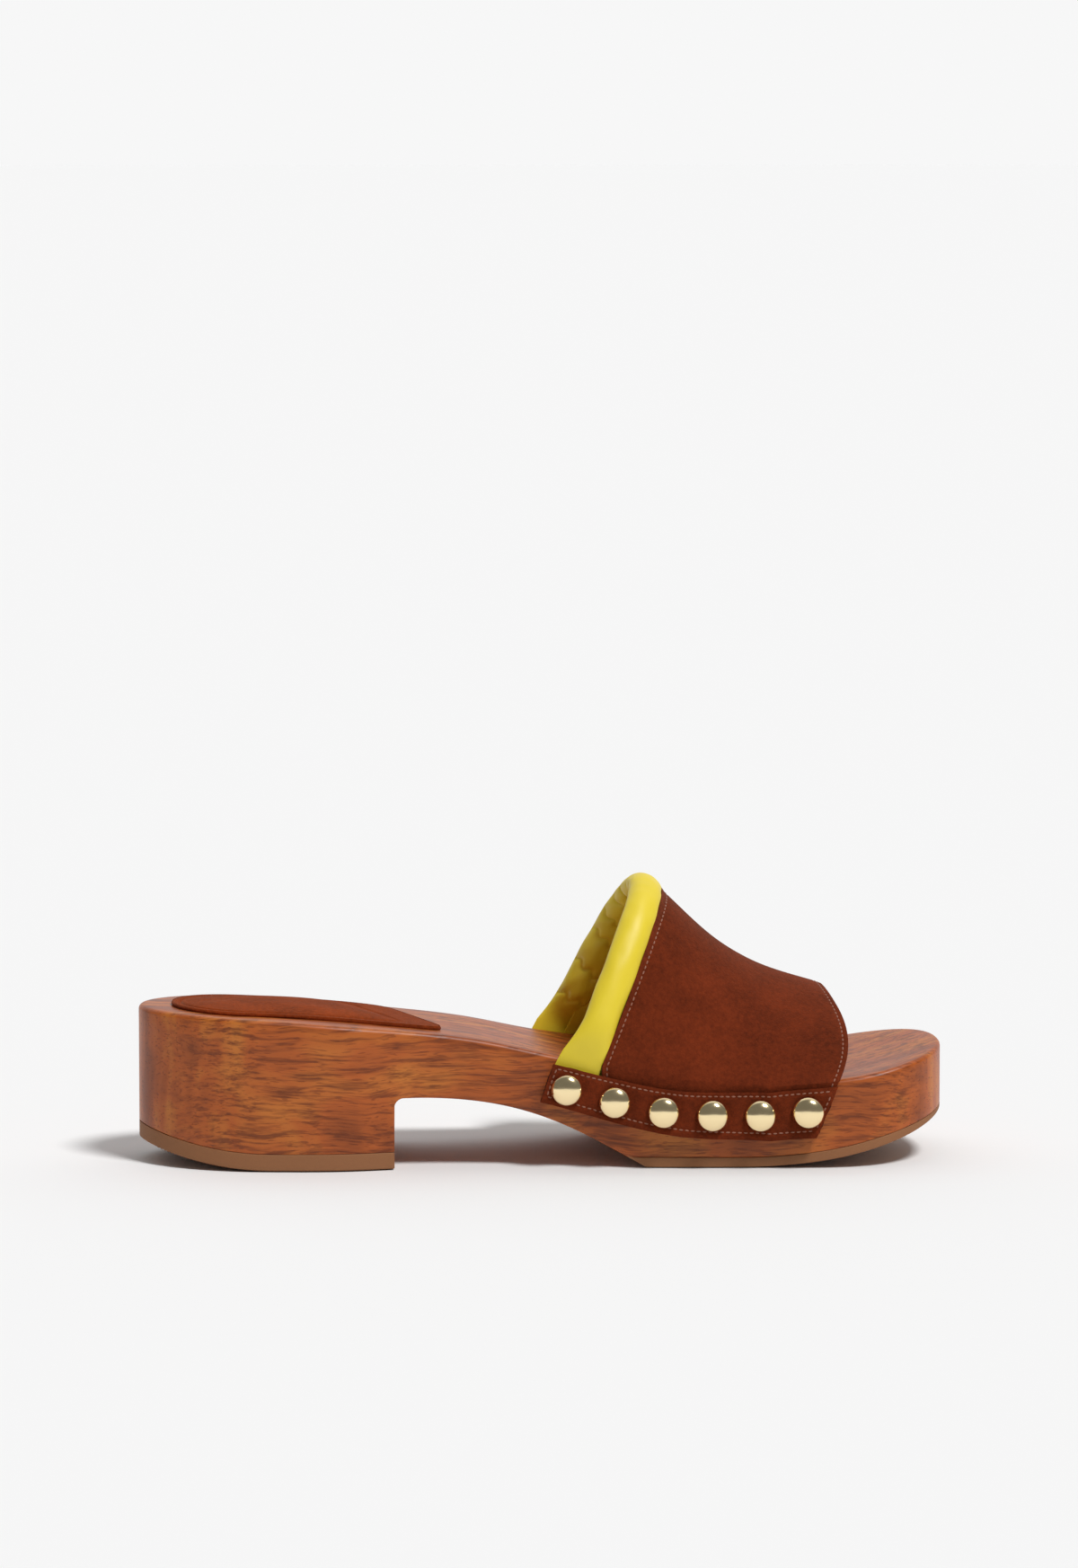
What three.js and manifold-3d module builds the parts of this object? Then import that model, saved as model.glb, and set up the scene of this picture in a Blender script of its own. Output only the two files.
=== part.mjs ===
// A wooden slide clog for the left foot. A carved wooden sole carries a rubber heel lift
// nailed under the heel, a thin outsole under the forefoot, and a padded heel pad. A suede
// vamp with a leather lining crosses the foot, a foam-filled leather collar edges its throat,
// and a leather band on each side is nailed over the vamp's edge with domed studs.
//
// Millimetres, Z up. X runs from the back of the heel (0) to the toe. The inner side of the
// foot is at negative Y, the outer side at positive Y. The ground is Z = 0. The last lines
// move the whole clog so that the middle of its base is the origin.

import * as THREE from 'three';
import { mergeVertices } from 'three/addons/utils/BufferGeometryUtils.js';
import Module from 'manifold-3d';

const INNER = -1;
const OUTER = 1;

// ---------------------------------------------------------------- driving dimensions

// wooden sole
const soleLength = 255;
const heelHeight = 49.3;          // top of the sole at the back of the heel
const ballHeight = 25.9;          // lowest point of the footbed, under the ball of the foot
const toeHeight = 36;             // top of the sole at the tip of the toe
const heelRound = 37;             // length of the rounded back end
const toeRound = 44;              // length of the rounded front end
const toeSquareness = 2.22;       // exponent of the toe's outline, where 2 is an ellipse
const toeLean = 5;                // how far the tip leans to the inner side
const heelWidth = 60;             // across the rounded part of the heel
const waistWidth = 58;            // across the narrowest part
const ballWidth = 86;             // across the ball of the foot

// underside
const heelLength = 78;            // from the back of the heel to its breast
const waistHeight = 22.4;         // top of the arch under the waist
const breastFillet = 3;
const archReach = 98;             // from the tip of the toe back to the end of the arch
const archSlope = 0.56;           // slope at which the arch meets the ground
const heelRocker = 7;             // lift of the tread at the back of the heel
const heelRockerLength = 40;
const toeSpring = 15.3;           // lift of the tread at the tip of the toe
const toeSpringLength = 68;
const liftThickness = 5.4;        // rubber heel lift
const outsoleThickness = 3.2;
const outsoleTip = 1.2;           // thickness at the tip of the toe
const outsoleFade = 30;           // length over which the outsole thins to that

// layers of the upper, outwards from the sole's side wall
const gap = 0.3;                  // glue line or running clearance between two pieces
const liningGap = 0.4;            // between the wood's wall and the lining
const liningThickness = 0.7;
const vampThickness = 1.2;
const bandThickness = 1.6;

// vamp, with distances taken from the tip of the toe
const throatAtWall = 111.8;       // rear edge where it meets the sole
const throatAtRidge = 88.0;       // rear edge at the top of the instep
const throatBow = 1.1;            // how far its inner side bows forward half way up
const vampFront = 38.6;
const vampFrontLean = 1.9;        // how much further forward it reaches over the instep
const vampFrontBulge = 4.0;       // how far the front edge bows forward half way up
const vampTuck = 14;              // how far the upper runs down the wall
const outerFall = 0.42;           // how much lower the upper runs on its outer side
const frontSlant = 0.42;          // slope of the front ends of vamp and band

// padded collar
const collarWidth = 11;
const collarThickness = 8.6;
const collarTilt = THREE.MathUtils.degToRad(24);
const collarPly = 0.9;
const collarSlit = THREE.MathUtils.degToRad(24);   // half of the open seam towards the vamp
const collarSink = 1;             // how far the roll's middle lies inside the vamp's
const collarFlare = 5.2;          // how far its flat ends widen to the rear, under the band

// studded band, with distances taken from the tip of the toe
const bandRear = 129.6;
const bandFront = 42.5;
const bandHeightRear = 13.2;
const bandHeightFront = 15.8;
const rearSlant = 0.3;

// domed studs
const studCount = 6;
const studHead = 10;
const studRise = 3.2;
const studRim = 0.5;
const studShank = 2.2;
const studGrip = 8.5;             // length of shank in the wood
const studRear = 122.7;             // first stud, from the tip of the toe
const studFront = 47.7;           // last stud
const studClimb = 0.8;            // rise of the row against the band's middle line

// heel pad
const padRear = 10.6;
const padInnerFront = 96.4;
const padOuterFront = 78.6;
const padInner = 21.5;            // half widths of the pad
const padOuter = 20.5;
const padFoam = 2.4;
const padCover = 0.9;

// nails that hold the heel lift
const nailHead = 5.2;
const nailHeadThickness = 0.9;
const nailShank = 2.2;
const nailGrip = 9;
const nailRecess = 1.2;
const nailPlaces = [[21, 0], [42, -19], [42, 18], [67, -21], [67, 17]];

// ---------------------------------------------------------------- outline of the sole

// Half widths of the sole, as [distance from the back of the heel, half width].
const innerHalf = [
  [0, heelWidth * 0.45],
  [28, heelWidth / 2],
  [60, heelWidth * 0.56],
  [90, waistWidth * 0.525],
  [soleLength - 130, waistWidth * 0.56],
  [soleLength - 90, ballWidth * 0.449],
  [soleLength - 60, ballWidth * 0.488],
  [soleLength - 40, ballWidth * 0.525],
  [soleLength, ballWidth * 0.58],
];
const outerHalf = [
  [0, heelWidth * 0.5],
  [28, heelWidth * 0.495],
  [60, heelWidth * 0.486],
  [88, waistWidth * 0.475],
  [soleLength - 130, waistWidth * 0.514],
  [soleLength - 90, ballWidth * 0.461],
  [soleLength - 60, ballWidth * 0.504],
  [soleLength - 40, ballWidth * 0.495],
  [soleLength, ballWidth * 0.5],
];

// Share of the way from the ball's height up to the heel's, and up to the toe's.
const heelClimb = [[0, 1], [25, 0.95], [50, 0.885], [80, 0.756], [105, 0.615],
  [soleLength - 125, 0.385], [soleLength - 90, 0.124], [soleLength - 60, 0]];
const toeClimb = [[soleLength - 60, 0], [soleLength - 30, 0.3], [soleLength, 1]];

// Top line of the upper over the instep, as height above the ball of the foot.
const ridgeRise = [[soleLength - 115, 75.5], [soleLength - 95, 61.5], [soleLength - 88, 54.8],
  [soleLength - 73, 40.7], [soleLength - 61, 32.8], [soleLength - 50, 28],
  [soleLength - 35, 23.7]];

// The band's middle line, as depth below the sole's top edge.
const bandDepth = [[soleLength - 128, 8.5], [soleLength - 92, 10.9], [soleLength - 60, 9.2],
  [soleLength - 40, 9.2]];

// A smooth curve through [x, value] stations, read at x and held level past its ends.
function along(stations, x) {
  const last = stations.length - 1;
  const place = THREE.MathUtils.clamp(x, stations[0][0], stations[last][0]);
  let i = 0;
  while (i < last - 1 && place > stations[i + 1][0]) i++;
  const slope = (j) => {
    const before = stations[Math.max(j - 1, 0)];
    const after = stations[Math.min(j + 1, last)];
    return (after[1] - before[1]) / (after[0] - before[0]);
  };
  const [x0, value0] = stations[i];
  const [x1, value1] = stations[i + 1];
  const span = x1 - x0;
  const t = (place - x0) / span;
  const s = 1 - t;
  return value0 * s * s * (1 + 2 * t) + slope(i) * span * t * s * s
    + value1 * t * t * (3 - 2 * t) - slope(i + 1) * span * t * t * s;
}

function footbed(x) {
  if (x < soleLength - 60) return ballHeight + (heelHeight - ballHeight) * along(heelClimb, x);
  return ballHeight + (toeHeight - ballHeight) * along(toeClimb, x);
}

function tread(x) {
  const back = Math.max(heelRockerLength - x, 0) / heelRockerLength;
  const front = Math.max(x - (soleLength - toeSpringLength), 0) / toeSpringLength;
  return heelRocker * back * back + toeSpring * front * front;
}

function outsoleDepth(x) {
  const fade = THREE.MathUtils.clamp((x - soleLength + outsoleFade) / outsoleFade, 0, 1);
  return outsoleThickness - (outsoleThickness - outsoleTip) * fade * fade;
}

// Y of the sole's side wall at x, on the inner or outer side.
function wall(x, side) {
  const place = THREE.MathUtils.clamp(x, 0, soleLength);
  const back = Math.max(heelRound - place, 0) / heelRound;
  const front = Math.max(place - (soleLength - toeRound), 0) / toeRound;
  const rounding = Math.sqrt(1 - back * back)
    * (1 - front ** toeSquareness) ** (1 / toeSquareness);
  const half = along(side === INNER ? innerHalf : outerHalf, place);
  return side * half * rounding - toeLean * front * front;
}

function wallNormal(x, side) {
  const step = 1;
  const rise = (wall(x + step, side) - wall(x - step, side)) / (2 * step);
  return new THREE.Vector3(-side * rise, side, 0).normalize();
}

function planStations() {
  const stations = [];
  const heelSteps = 7;
  const middleSteps = 12;
  const toeSteps = 9;
  for (let i = 0; i < heelSteps; i++) {
    stations.push(heelRound * (1 - Math.cos(i / heelSteps * Math.PI / 2)));
  }
  for (let i = 0; i < middleSteps; i++) {
    stations.push(heelRound + (soleLength - toeRound - heelRound) * i / middleSteps);
  }
  for (let i = 0; i <= toeSteps; i++) {
    stations.push(soleLength - toeRound * (1 - Math.sin(i / toeSteps * Math.PI / 2)));
  }
  return stations;
}

// ---------------------------------------------------------------- making solids

const wasm = await Module();
wasm.setup();

function merged(geometry) {
  const bare = geometry.index ? geometry.clone() : mergeVertices(geometry.clone());
  bare.deleteAttribute('normal');
  bare.deleteAttribute('uv');
  return mergeVertices(bare, 1e-4);
}

function toManifold(geometry) {
  const closed = merged(geometry);
  return new wasm.Manifold(new wasm.Mesh({
    numProp: 3,
    vertProperties: new Float32Array(closed.attributes.position.array),
    triVerts: new Uint32Array(closed.index.array),
  }));
}

function toGeometry(manifold) {
  const mesh = manifold.getMesh();
  const geometry = new THREE.BufferGeometry();
  geometry.setAttribute('position', new THREE.BufferAttribute(mesh.vertProperties, 3));
  geometry.setIndex(new THREE.BufferAttribute(mesh.triVerts, 1));
  geometry.computeVertexNormals();
  return geometry;
}

function cut(geometry, tools) {
  let result = toManifold(geometry);
  for (const tool of tools) result = result.subtract(toManifold(tool));
  return toGeometry(result);
}

// Signed volume, which is negative where the faces point inwards.
function volume(geometry) {
  const points = geometry.attributes.position;
  const corners = geometry.index.array;
  const [a, b, c] = [new THREE.Vector3(), new THREE.Vector3(), new THREE.Vector3()];
  let sum = 0;
  for (let i = 0; i < corners.length; i += 3) {
    a.fromBufferAttribute(points, corners[i]);
    b.fromBufferAttribute(points, corners[i + 1]);
    c.fromBufferAttribute(points, corners[i + 2]);
    sum += a.dot(b.cross(c)) / 6;
  }
  return sum;
}

// Moves every vertex of a closed geometry to place(vertex), with the faces kept outwards.
function bent(geometry, place) {
  const closed = merged(geometry);
  const points = closed.attributes.position;
  const vertex = new THREE.Vector3();
  for (let i = 0; i < points.count; i++) {
    const moved = place(vertex.fromBufferAttribute(points, i));
    points.setXYZ(i, moved.x, moved.y, moved.z);
  }
  if (volume(closed) < 0) closed.index.array.reverse();
  closed.computeVertexNormals();
  return closed;
}

// A bent sheet: place(u, v, w) gives a point for u, v and w from 0 to 1, w being its depth.
function sheet(uSteps, vSteps, place) {
  const block = new THREE.BoxGeometry(1, 1, 1, uSteps, vSteps, 1);
  return bent(block, (p) => place(p.x + 0.5, p.y + 0.5, p.z + 0.5));
}

// A slab with the sole's outline, between two heights.
function outlineSlab(bottom, top) {
  const stations = planStations();
  const inner = stations.map((x) => new THREE.Vector2(x, wall(x, INNER)));
  const outer = stations.slice(1, -1).map((x) => new THREE.Vector2(x, wall(x, OUTER)));
  const shape = new THREE.Shape([...inner, ...outer.reverse()]);
  const slab = new THREE.ExtrudeGeometry(shape, { depth: top - bottom, bevelEnabled: false });
  return slab.translate(0, 0, bottom);
}

// A slab with a side profile of [x, z] points, wide enough to pass the sole on both sides.
function profileSlab(points) {
  const width = 2 * ballWidth;
  const shape = new THREE.Shape(points.map(([x, z]) => new THREE.Vector2(x, z)));
  const slab = new THREE.ExtrudeGeometry(shape, { depth: width, bevelEnabled: false });
  return slab.rotateX(Math.PI / 2).translate(0, width / 2, 0);
}

// The piece of the sole's outline that lies inside a side profile.
function solePiece(profile) {
  const slab = toManifold(outlineSlab(-1, heelHeight + toeHeight));
  return toGeometry(slab.intersect(toManifold(profileSlab(profile))));
}

function steps(from, to, count) {
  return Array.from({ length: count + 1 }, (_, i) => from + (to - from) * i / count);
}

// ---------------------------------------------------------------- materials and meshes

const clog = new THREE.Group();

const finishes = {
  alder: { color: 0x98552f, roughness: 0.55, metalness: 0 },
  suede: { color: 0x7c3d20, roughness: 0.9, metalness: 0 },
  nappa: { color: 0xe3c944, roughness: 0.5, metalness: 0 },
  rubber: { color: 0x82563a, roughness: 0.75, metalness: 0 },
  foam: { color: 0xd8cfae, roughness: 0.95, metalness: 0 },
  brass: { color: 0xdcc28a, roughness: 0.2, metalness: 1 },
  steel: { color: 0x8c8c8c, roughness: 0.4, metalness: 1 },
};

function add(name, geometry, finish) {
  const mesh = new THREE.Mesh(geometry, new THREE.MeshStandardMaterial(finishes[finish]));
  mesh.name = name;
  clog.add(mesh);
  return mesh;
}

// ---------------------------------------------------------------- studs

const studBase = liningGap + liningThickness + 3 * gap + vampThickness + bandThickness + 0.1;

function bandMiddle(x) {
  return footbed(x) - along(bandDepth, x);
}

// Where each stud sits on a side: the point on the sole's wall and the wall's normal.
function studSeats(side) {
  return steps(0, 1, studCount - 1).map((t) => {
    const x = soleLength - THREE.MathUtils.lerp(studRear, studFront, t);
    const z = bandMiddle(x) + studClimb * (t - 0.45);
    return { seat: new THREE.Vector3(x, wall(x, side), z), normal: wallNormal(x, side) };
  });
}

function studGeometry() {
  const domeSteps = 4;
  const radius = studHead / 2;
  const shank = studShank / 2;
  const length = studBase + studGrip;
  const profile = [
    new THREE.Vector2(0, -length),
    new THREE.Vector2(shank, -length + studShank),
    new THREE.Vector2(shank, 0),
    new THREE.Vector2(radius, 0),
  ];
  for (let i = 0; i < domeSteps; i++) {
    const angle = i / domeSteps * Math.PI / 2;
    const height = studRim + (studRise - studRim) * Math.sin(angle);
    profile.push(new THREE.Vector2(radius * Math.cos(angle), height));
  }
  profile.push(new THREE.Vector2(0, studRise));
  return new THREE.LatheGeometry(profile, 14);
}

// Cylinders that clear the studs' shanks through the leather and into the wood.
function studHoles(side) {
  const depth = studGrip + 1;
  const reach = studBase + 5;
  return studSeats(side).map(({ seat, normal }) => {
    const radius = studShank / 2 + gap;
    const hole = new THREE.CylinderGeometry(radius, radius, depth + reach, 10);
    hole.translate(0, (reach - depth) / 2, 0);
    hole.applyQuaternion(turnTo(normal));
    return hole.translate(seat.x, seat.y, seat.z);
  });
}

function turnTo(direction) {
  return new THREE.Quaternion().setFromUnitVectors(new THREE.Vector3(0, 1, 0), direction);
}

function addStuds(side, word) {
  studSeats(side).forEach(({ seat, normal }, i) => {
    const stud = add(`stud_${word}_${i + 1}`, studGeometry(), 'brass');
    stud.quaternion.copy(turnTo(normal));
    stud.position.copy(seat).addScaledVector(normal, studBase);
  });
}

// ---------------------------------------------------------------- heel nails

function nailGeometry() {
  const head = nailHead / 2;
  const shank = nailShank / 2;
  const top = liftThickness + nailGrip - nailRecess;
  const profile = [
    new THREE.Vector2(0, 0),
    new THREE.Vector2(head, 0),
    new THREE.Vector2(head, nailHeadThickness),
    new THREE.Vector2(shank, nailHeadThickness),
    new THREE.Vector2(shank, top - nailShank),
    new THREE.Vector2(0, top),
  ];
  return new THREE.LatheGeometry(profile, 12).rotateX(Math.PI / 2);
}

// Holes for the nails: a shank hole into the wood and a wider one for the sunk head.
function nailHoles() {
  const holes = [];
  for (const [x, y] of nailPlaces) {
    const low = tread(x);
    const shankTop = low + liftThickness + nailGrip + 1;
    const headTop = low + nailRecess + nailHeadThickness + gap;
    for (const [radius, top] of [[nailShank / 2, shankTop], [nailHead / 2, headTop]]) {
      const height = top + 1;
      const hole = new THREE.CylinderGeometry(radius + gap, radius + gap, height, 12);
      holes.push(hole.rotateX(Math.PI / 2).translate(x, y, top - height / 2));
    }
  }
  return holes;
}

function addNails() {
  nailPlaces.forEach(([x, y], i) => {
    const nail = add(`heel_nail_${i + 1}`, nailGeometry(), 'steel');
    nail.position.set(x, y, tread(x) + nailRecess);
  });
}

// ---------------------------------------------------------------- sole

const past = 3;                   // how far a profile runs past the ends of the sole

function archCurve() {
  const reach = 25;
  const end = soleLength - archReach;
  const start = heelLength + breastFillet + 1;
  return new THREE.CubicBezierCurve(
    new THREE.Vector2(start, waistHeight),
    new THREE.Vector2(start + (end - start) * 0.48, waistHeight),
    new THREE.Vector2(end - reach, reach * archSlope),
    new THREE.Vector2(end, 0),
  );
}

function woodProfile() {
  const top = steps(-past, soleLength + past, 26).map((x) => [x, footbed(x)]);
  const joint = outsoleThickness + gap;
  const end = soleLength - archReach - joint / archSlope;
  const fore = steps(soleLength + past, end, 10).map((x) => [x, tread(x) + outsoleDepth(x) + gap]);
  const arch = archCurve().getPoints(12).reverse()
    .filter((p) => p.y > joint + 1)
    .map((p) => [p.x, p.y]);
  const fillet = steps(0.25, 1, 3).map((t) => {
    const angle = t * Math.PI / 2;
    return [heelLength + breastFillet * (1 - Math.sin(angle)),
      waistHeight - breastFillet * (1 - Math.cos(angle))];
  });
  const joinTop = (x) => tread(x) + liftThickness + gap;
  const heel = [heelLength, heelRockerLength, ...steps(heelRockerLength * 0.8, -past, 5)]
    .map((x) => [x, joinTop(x)]);
  return [...top, ...fore, ...arch, ...fillet, ...heel];
}

function outsoleProfile() {
  const end = soleLength - archReach;
  const bend = soleLength - toeSpringLength;
  const low = [end, bend, ...steps(bend + 8, soleLength + past, 7)].map((x) => [x, tread(x)]);
  const topEnd = end - outsoleThickness / archSlope;
  const high = steps(soleLength + past, topEnd, 10).map((x) => [x, tread(x) + outsoleDepth(x)]);
  return [...low, ...high];
}

function liftProfile() {
  const marks = [...steps(-past, heelRockerLength * 0.8, 5), heelRockerLength, heelLength];
  const low = marks.map((x) => [x, tread(x)]);
  const high = marks.map((x) => [x, tread(x) + liftThickness]).reverse();
  return [...low, ...high];
}

const allStudHoles = [...studHoles(INNER), ...studHoles(OUTER)];
add('wooden_sole', cut(solePiece(woodProfile()), [...allStudHoles, ...nailHoles()]), 'alder');
add('rubber_heel_lift', cut(solePiece(liftProfile()), nailHoles()), 'rubber');
add('forefoot_outsole', solePiece(outsoleProfile()), 'rubber');
addNails();

// ---------------------------------------------------------------- heel pad

// Outline of the pad as a ray length from its middle, at an angle from the X axis. The front
// edge runs straight and slantwise from the longer inner side to the shorter outer side.
const padMiddle = padRear + padInner;

function padReach(angle) {
  const direction = new THREE.Vector2(Math.cos(angle), Math.sin(angle));
  const halfWidth = direction.y < 0 ? padInner : padOuter;
  if (direction.x <= 0) {
    return 1 / Math.hypot(direction.x / padInner, direction.y / halfWidth);
  }
  const across = (padInnerFront + padOuterFront) / 2 - padMiddle;
  const lean = (padInnerFront - padOuterFront) / (padInner + padOuter);
  const toFront = across / (direction.x + lean * direction.y);
  const toSide = halfWidth / Math.abs(direction.y);
  const roundness = 9;
  const front = toFront > 0 ? toFront ** -roundness : 0;
  return (front + toSide ** -roundness) ** (-1 / roundness);
}

// Lays a disc of unit radius, turned from a profile of [radius, height], on the footbed.
function onFootbed(profile) {
  const points = profile.map(([r, z]) => new THREE.Vector2(r, z));
  const disc = new THREE.LatheGeometry(points, 32).rotateX(Math.PI / 2);
  return bent(disc, (p) => {
    const radius = Math.hypot(p.x, p.y);
    const angle = Math.atan2(p.y, p.x);
    const reach = radius * padReach(angle);
    const x = padMiddle + reach * Math.cos(angle);
    return new THREE.Vector3(x, reach * Math.sin(angle), footbed(x) + gap + p.z);
  });
}

function foamTop(r) {
  return padFoam * (1 - 0.45 * r * r);
}

const foamRim = 0.9;
const foamSpread = [0, 0.3, 0.6, foamRim];
const coverRim = foamRim + 0.03;
add('heel_pad_foam', onFootbed([
  ...foamSpread.map((r) => [r, 0]),
  ...foamSpread.map((r) => [r, foamTop(r)]).reverse(),
]), 'foam');
add('heel_pad_cover', onFootbed([
  ...foamSpread.slice(0, -1).map((r) => [r, foamTop(r) + gap]),
  [coverRim, foamTop(foamRim) + gap],
  [coverRim, 0],
  [1, 0],
  [1, padCover],
  ...foamSpread.map((r) => [r, foamTop(r) + gap + padCover]).reverse(),
]), 'suede');

// ---------------------------------------------------------------- upper

function ridge(x) {
  return ballHeight + along(ridgeRise, x);
}

// A point of the upper, `off` outside the sole's wall. g runs round the foot: from -1 at the
// inner wall's top edge over the instep at 0 to +1 at the outer wall's top edge, and past
// these it runs down the wall, one unit of g for the depth that the upper is tucked down.
function upperPoint(x, g, off) {
  const side = g < 0 ? INNER : OUTER;
  const share = Math.min(Math.abs(g), 1);
  const lower = wallDepth(g);
  const edge = footbed(x);
  const middle = (wall(x, INNER) + wall(x, OUTER)) / 2;
  const foot = wall(x, side) + side * off;
  const fall = share * share * (1 + (side === OUTER ? outerFall * (1 - share) : 0));
  const rise = (ridge(x) + off - edge) * (1 - fall);
  return new THREE.Vector3(x, middle + (foot - middle) * share, edge + rise - lower);
}

function wallDepth(g) {
  return Math.max(Math.abs(g) - 1, 0) * vampTuck;
}

function throat(g) {
  const climb = 1 - Math.min(g * g, 1);
  const bow = g < 0 ? throatBow * 4 * climb * (1 - climb) : 0;
  return soleLength - THREE.MathUtils.lerp(throatAtWall, throatAtRidge, climb) + bow;
}

function frontEdge(g) {
  const climb = 1 - Math.min(g * g, 1);
  const bulge = vampFrontLean * climb + vampFrontBulge * 4 * climb * (1 - climb);
  return soleLength - vampFront + bulge - frontSlant * wallDepth(g);
}

// Spreads u from 0 to 1 over g from -2 to 2, a share of it on the two walls.
function girth(u) {
  const wallShare = 3 / 26;
  if (u < wallShare) return -2 + u / wallShare;
  if (u > 1 - wallShare) return 2 - (1 - u) / wallShare;
  return -1 + 2 * (u - wallShare) / (1 - 2 * wallShare);
}

// A layer of the upper between two offsets. The two faces that meet across a gap are both
// the second one given, so that they are split into the same triangles.
function upperLayer(first, second) {
  return sheet(26, 13, (u, v, w) => {
    const g = girth(u);
    const x = THREE.MathUtils.lerp(throat(g), frontEdge(g), v);
    return upperPoint(x, g, THREE.MathUtils.lerp(first, second, w));
  });
}

const vampInside = liningGap + liningThickness + gap;
const vampMiddle = vampInside + vampThickness / 2;
add('vamp_lining', cut(upperLayer(liningGap, liningGap + liningThickness), allStudHoles), 'nappa');
add('vamp', cut(upperLayer(vampInside + vampThickness, vampInside), allStudHoles), 'suede');

// ---------------------------------------------------------------- collar

// How far the roll has flattened into a double ply: 0 over the instep, 1 along the wall.
function flattening(g) {
  return THREE.MathUtils.smoothstep(Math.abs(g), 0.8, 1);
}

function collarHalf(g) {
  return THREE.MathUtils.lerp(collarThickness / 2, vampThickness / 2, flattening(g));
}

const collarAcross = new THREE.Vector3(Math.cos(collarTilt), 0, -Math.sin(collarTilt));

function collarCentre(g) {
  const reach = collarWidth / 2 + gap;
  const held = THREE.MathUtils.clamp(g, -1, 1);
  const centre = upperPoint(throat(held), held, vampMiddle).addScaledVector(collarAcross, -reach);
  centre.x -= rearSlant * wallDepth(g);
  centre.z -= wallDepth(g);
  return centre;
}

// A point of the collar's section at g: `a` across the roll, `b` outwards from its middle.
function collarPoint(g, a, b) {
  const step = 0.01;
  const held = THREE.MathUtils.clamp(g, -1 + step, 1 - step);
  const run = collarCentre(held + step).sub(collarCentre(held - step)).normalize();
  const outwards = new THREE.Vector3().crossVectors(collarAcross, run).normalize();
  const centre = collarCentre(g).addScaledVector(collarAcross, a);
  const side = g < 0 ? INNER : OUTER;
  const flat = centre.clone();
  flat.y = wall(centre.x, side) + side * (vampMiddle + b);
  return centre.addScaledVector(outwards, b - collarSink).lerp(flat, flattening(g));
}

function collarSection(g, angle, inset) {
  const x = throat(g);
  const above = (ridge(x) - footbed(x)) * (1 - Math.min(g * g, 1)) - wallDepth(g);
  const flare = collarFlare * (1 - THREE.MathUtils.smoothstep(above, -7, 7));
  const rearwards = Math.max(-Math.cos(angle), 0);
  const across = (collarWidth / 2 - inset) * Math.cos(angle) - flare * rearwards;
  const outward = (collarHalf(g) - inset) * Math.sin(angle);
  return collarPoint(g, across, outward);
}

// Cover and foam share one step along the roll, so that their facets lie alongside.
const collarStep = 0.103;

// The cover wraps round the foam and stays open along its seam, towards the vamp.
function collarCover() {
  const tail = 18 * collarStep;
  return sheet(36, 12, (u, v, w) => {
    const g = THREE.MathUtils.lerp(-tail, tail, u);
    const angle = THREE.MathUtils.lerp(collarSlit, 2 * Math.PI - collarSlit, v);
    const ply = Math.min(collarPly, 0.7 * collarHalf(g));
    return collarSection(g, angle, ply * (1 - w));
  });
}

function collarFoam() {
  const end = 8 * collarStep;
  const inset = collarPly + gap;
  const rod = new THREE.CylinderGeometry(1, 1, 2 * end, 12, 16);
  return bent(rod, (p) => {
    const radius = Math.hypot(p.x, p.z);
    const angle = Math.atan2(p.z, p.x);
    const shrunk = Math.max(collarWidth / 2, collarThickness / 2);
    return collarSection(p.y, angle, radius > 0.5 ? inset : shrunk);
  });
}

add('collar_cover', cut(collarCover(), allStudHoles), 'nappa');
add('collar_foam', collarFoam(), 'foam');

// ---------------------------------------------------------------- bands

function band(side) {
  const inside = vampInside + vampThickness + gap;
  return sheet(20, 2, (u, v, w) => {
    const rearX = soleLength - bandRear;
    const frontX = soleLength - bandFront;
    const half = THREE.MathUtils.lerp(bandHeightRear, bandHeightFront, u) / 2;
    const up = (2 * v - 1) * half;
    const x = THREE.MathUtils.lerp(rearX + rearSlant * up, frontX + frontSlant * up, u);
    const y = wall(x, side) + side * (inside + bandThickness * w);
    return new THREE.Vector3(x, y, bandMiddle(x) + up);
  });
}

add('stud_band_inner', cut(band(INNER), studHoles(INNER)), 'suede');
add('stud_band_outer', cut(band(OUTER), studHoles(OUTER)), 'suede');
addStuds(INNER, 'inner');
addStuds(OUTER, 'outer');

// ---------------------------------------------------------------- origin

clog.updateMatrixWorld(true);
const box = new THREE.Box3().setFromObject(clog, true);
const middle = box.getCenter(new THREE.Vector3());
clog.position.set(-middle.x, -middle.y, -box.min.z);

export default clog;
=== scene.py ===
"""A wooden slide clog for the left foot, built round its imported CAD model.

The sole, its rubber treads, the heel pad, the suede vamp with its lining and padded collar,
the two studded bands and the nails' finish are each made by an operator of their own, in
metres, in the frame of the CAD model. Design sizes are written in millimetres.
"""
import math
import random

import bmesh
import bpy
from mathutils import Matrix, Vector, noise


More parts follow.
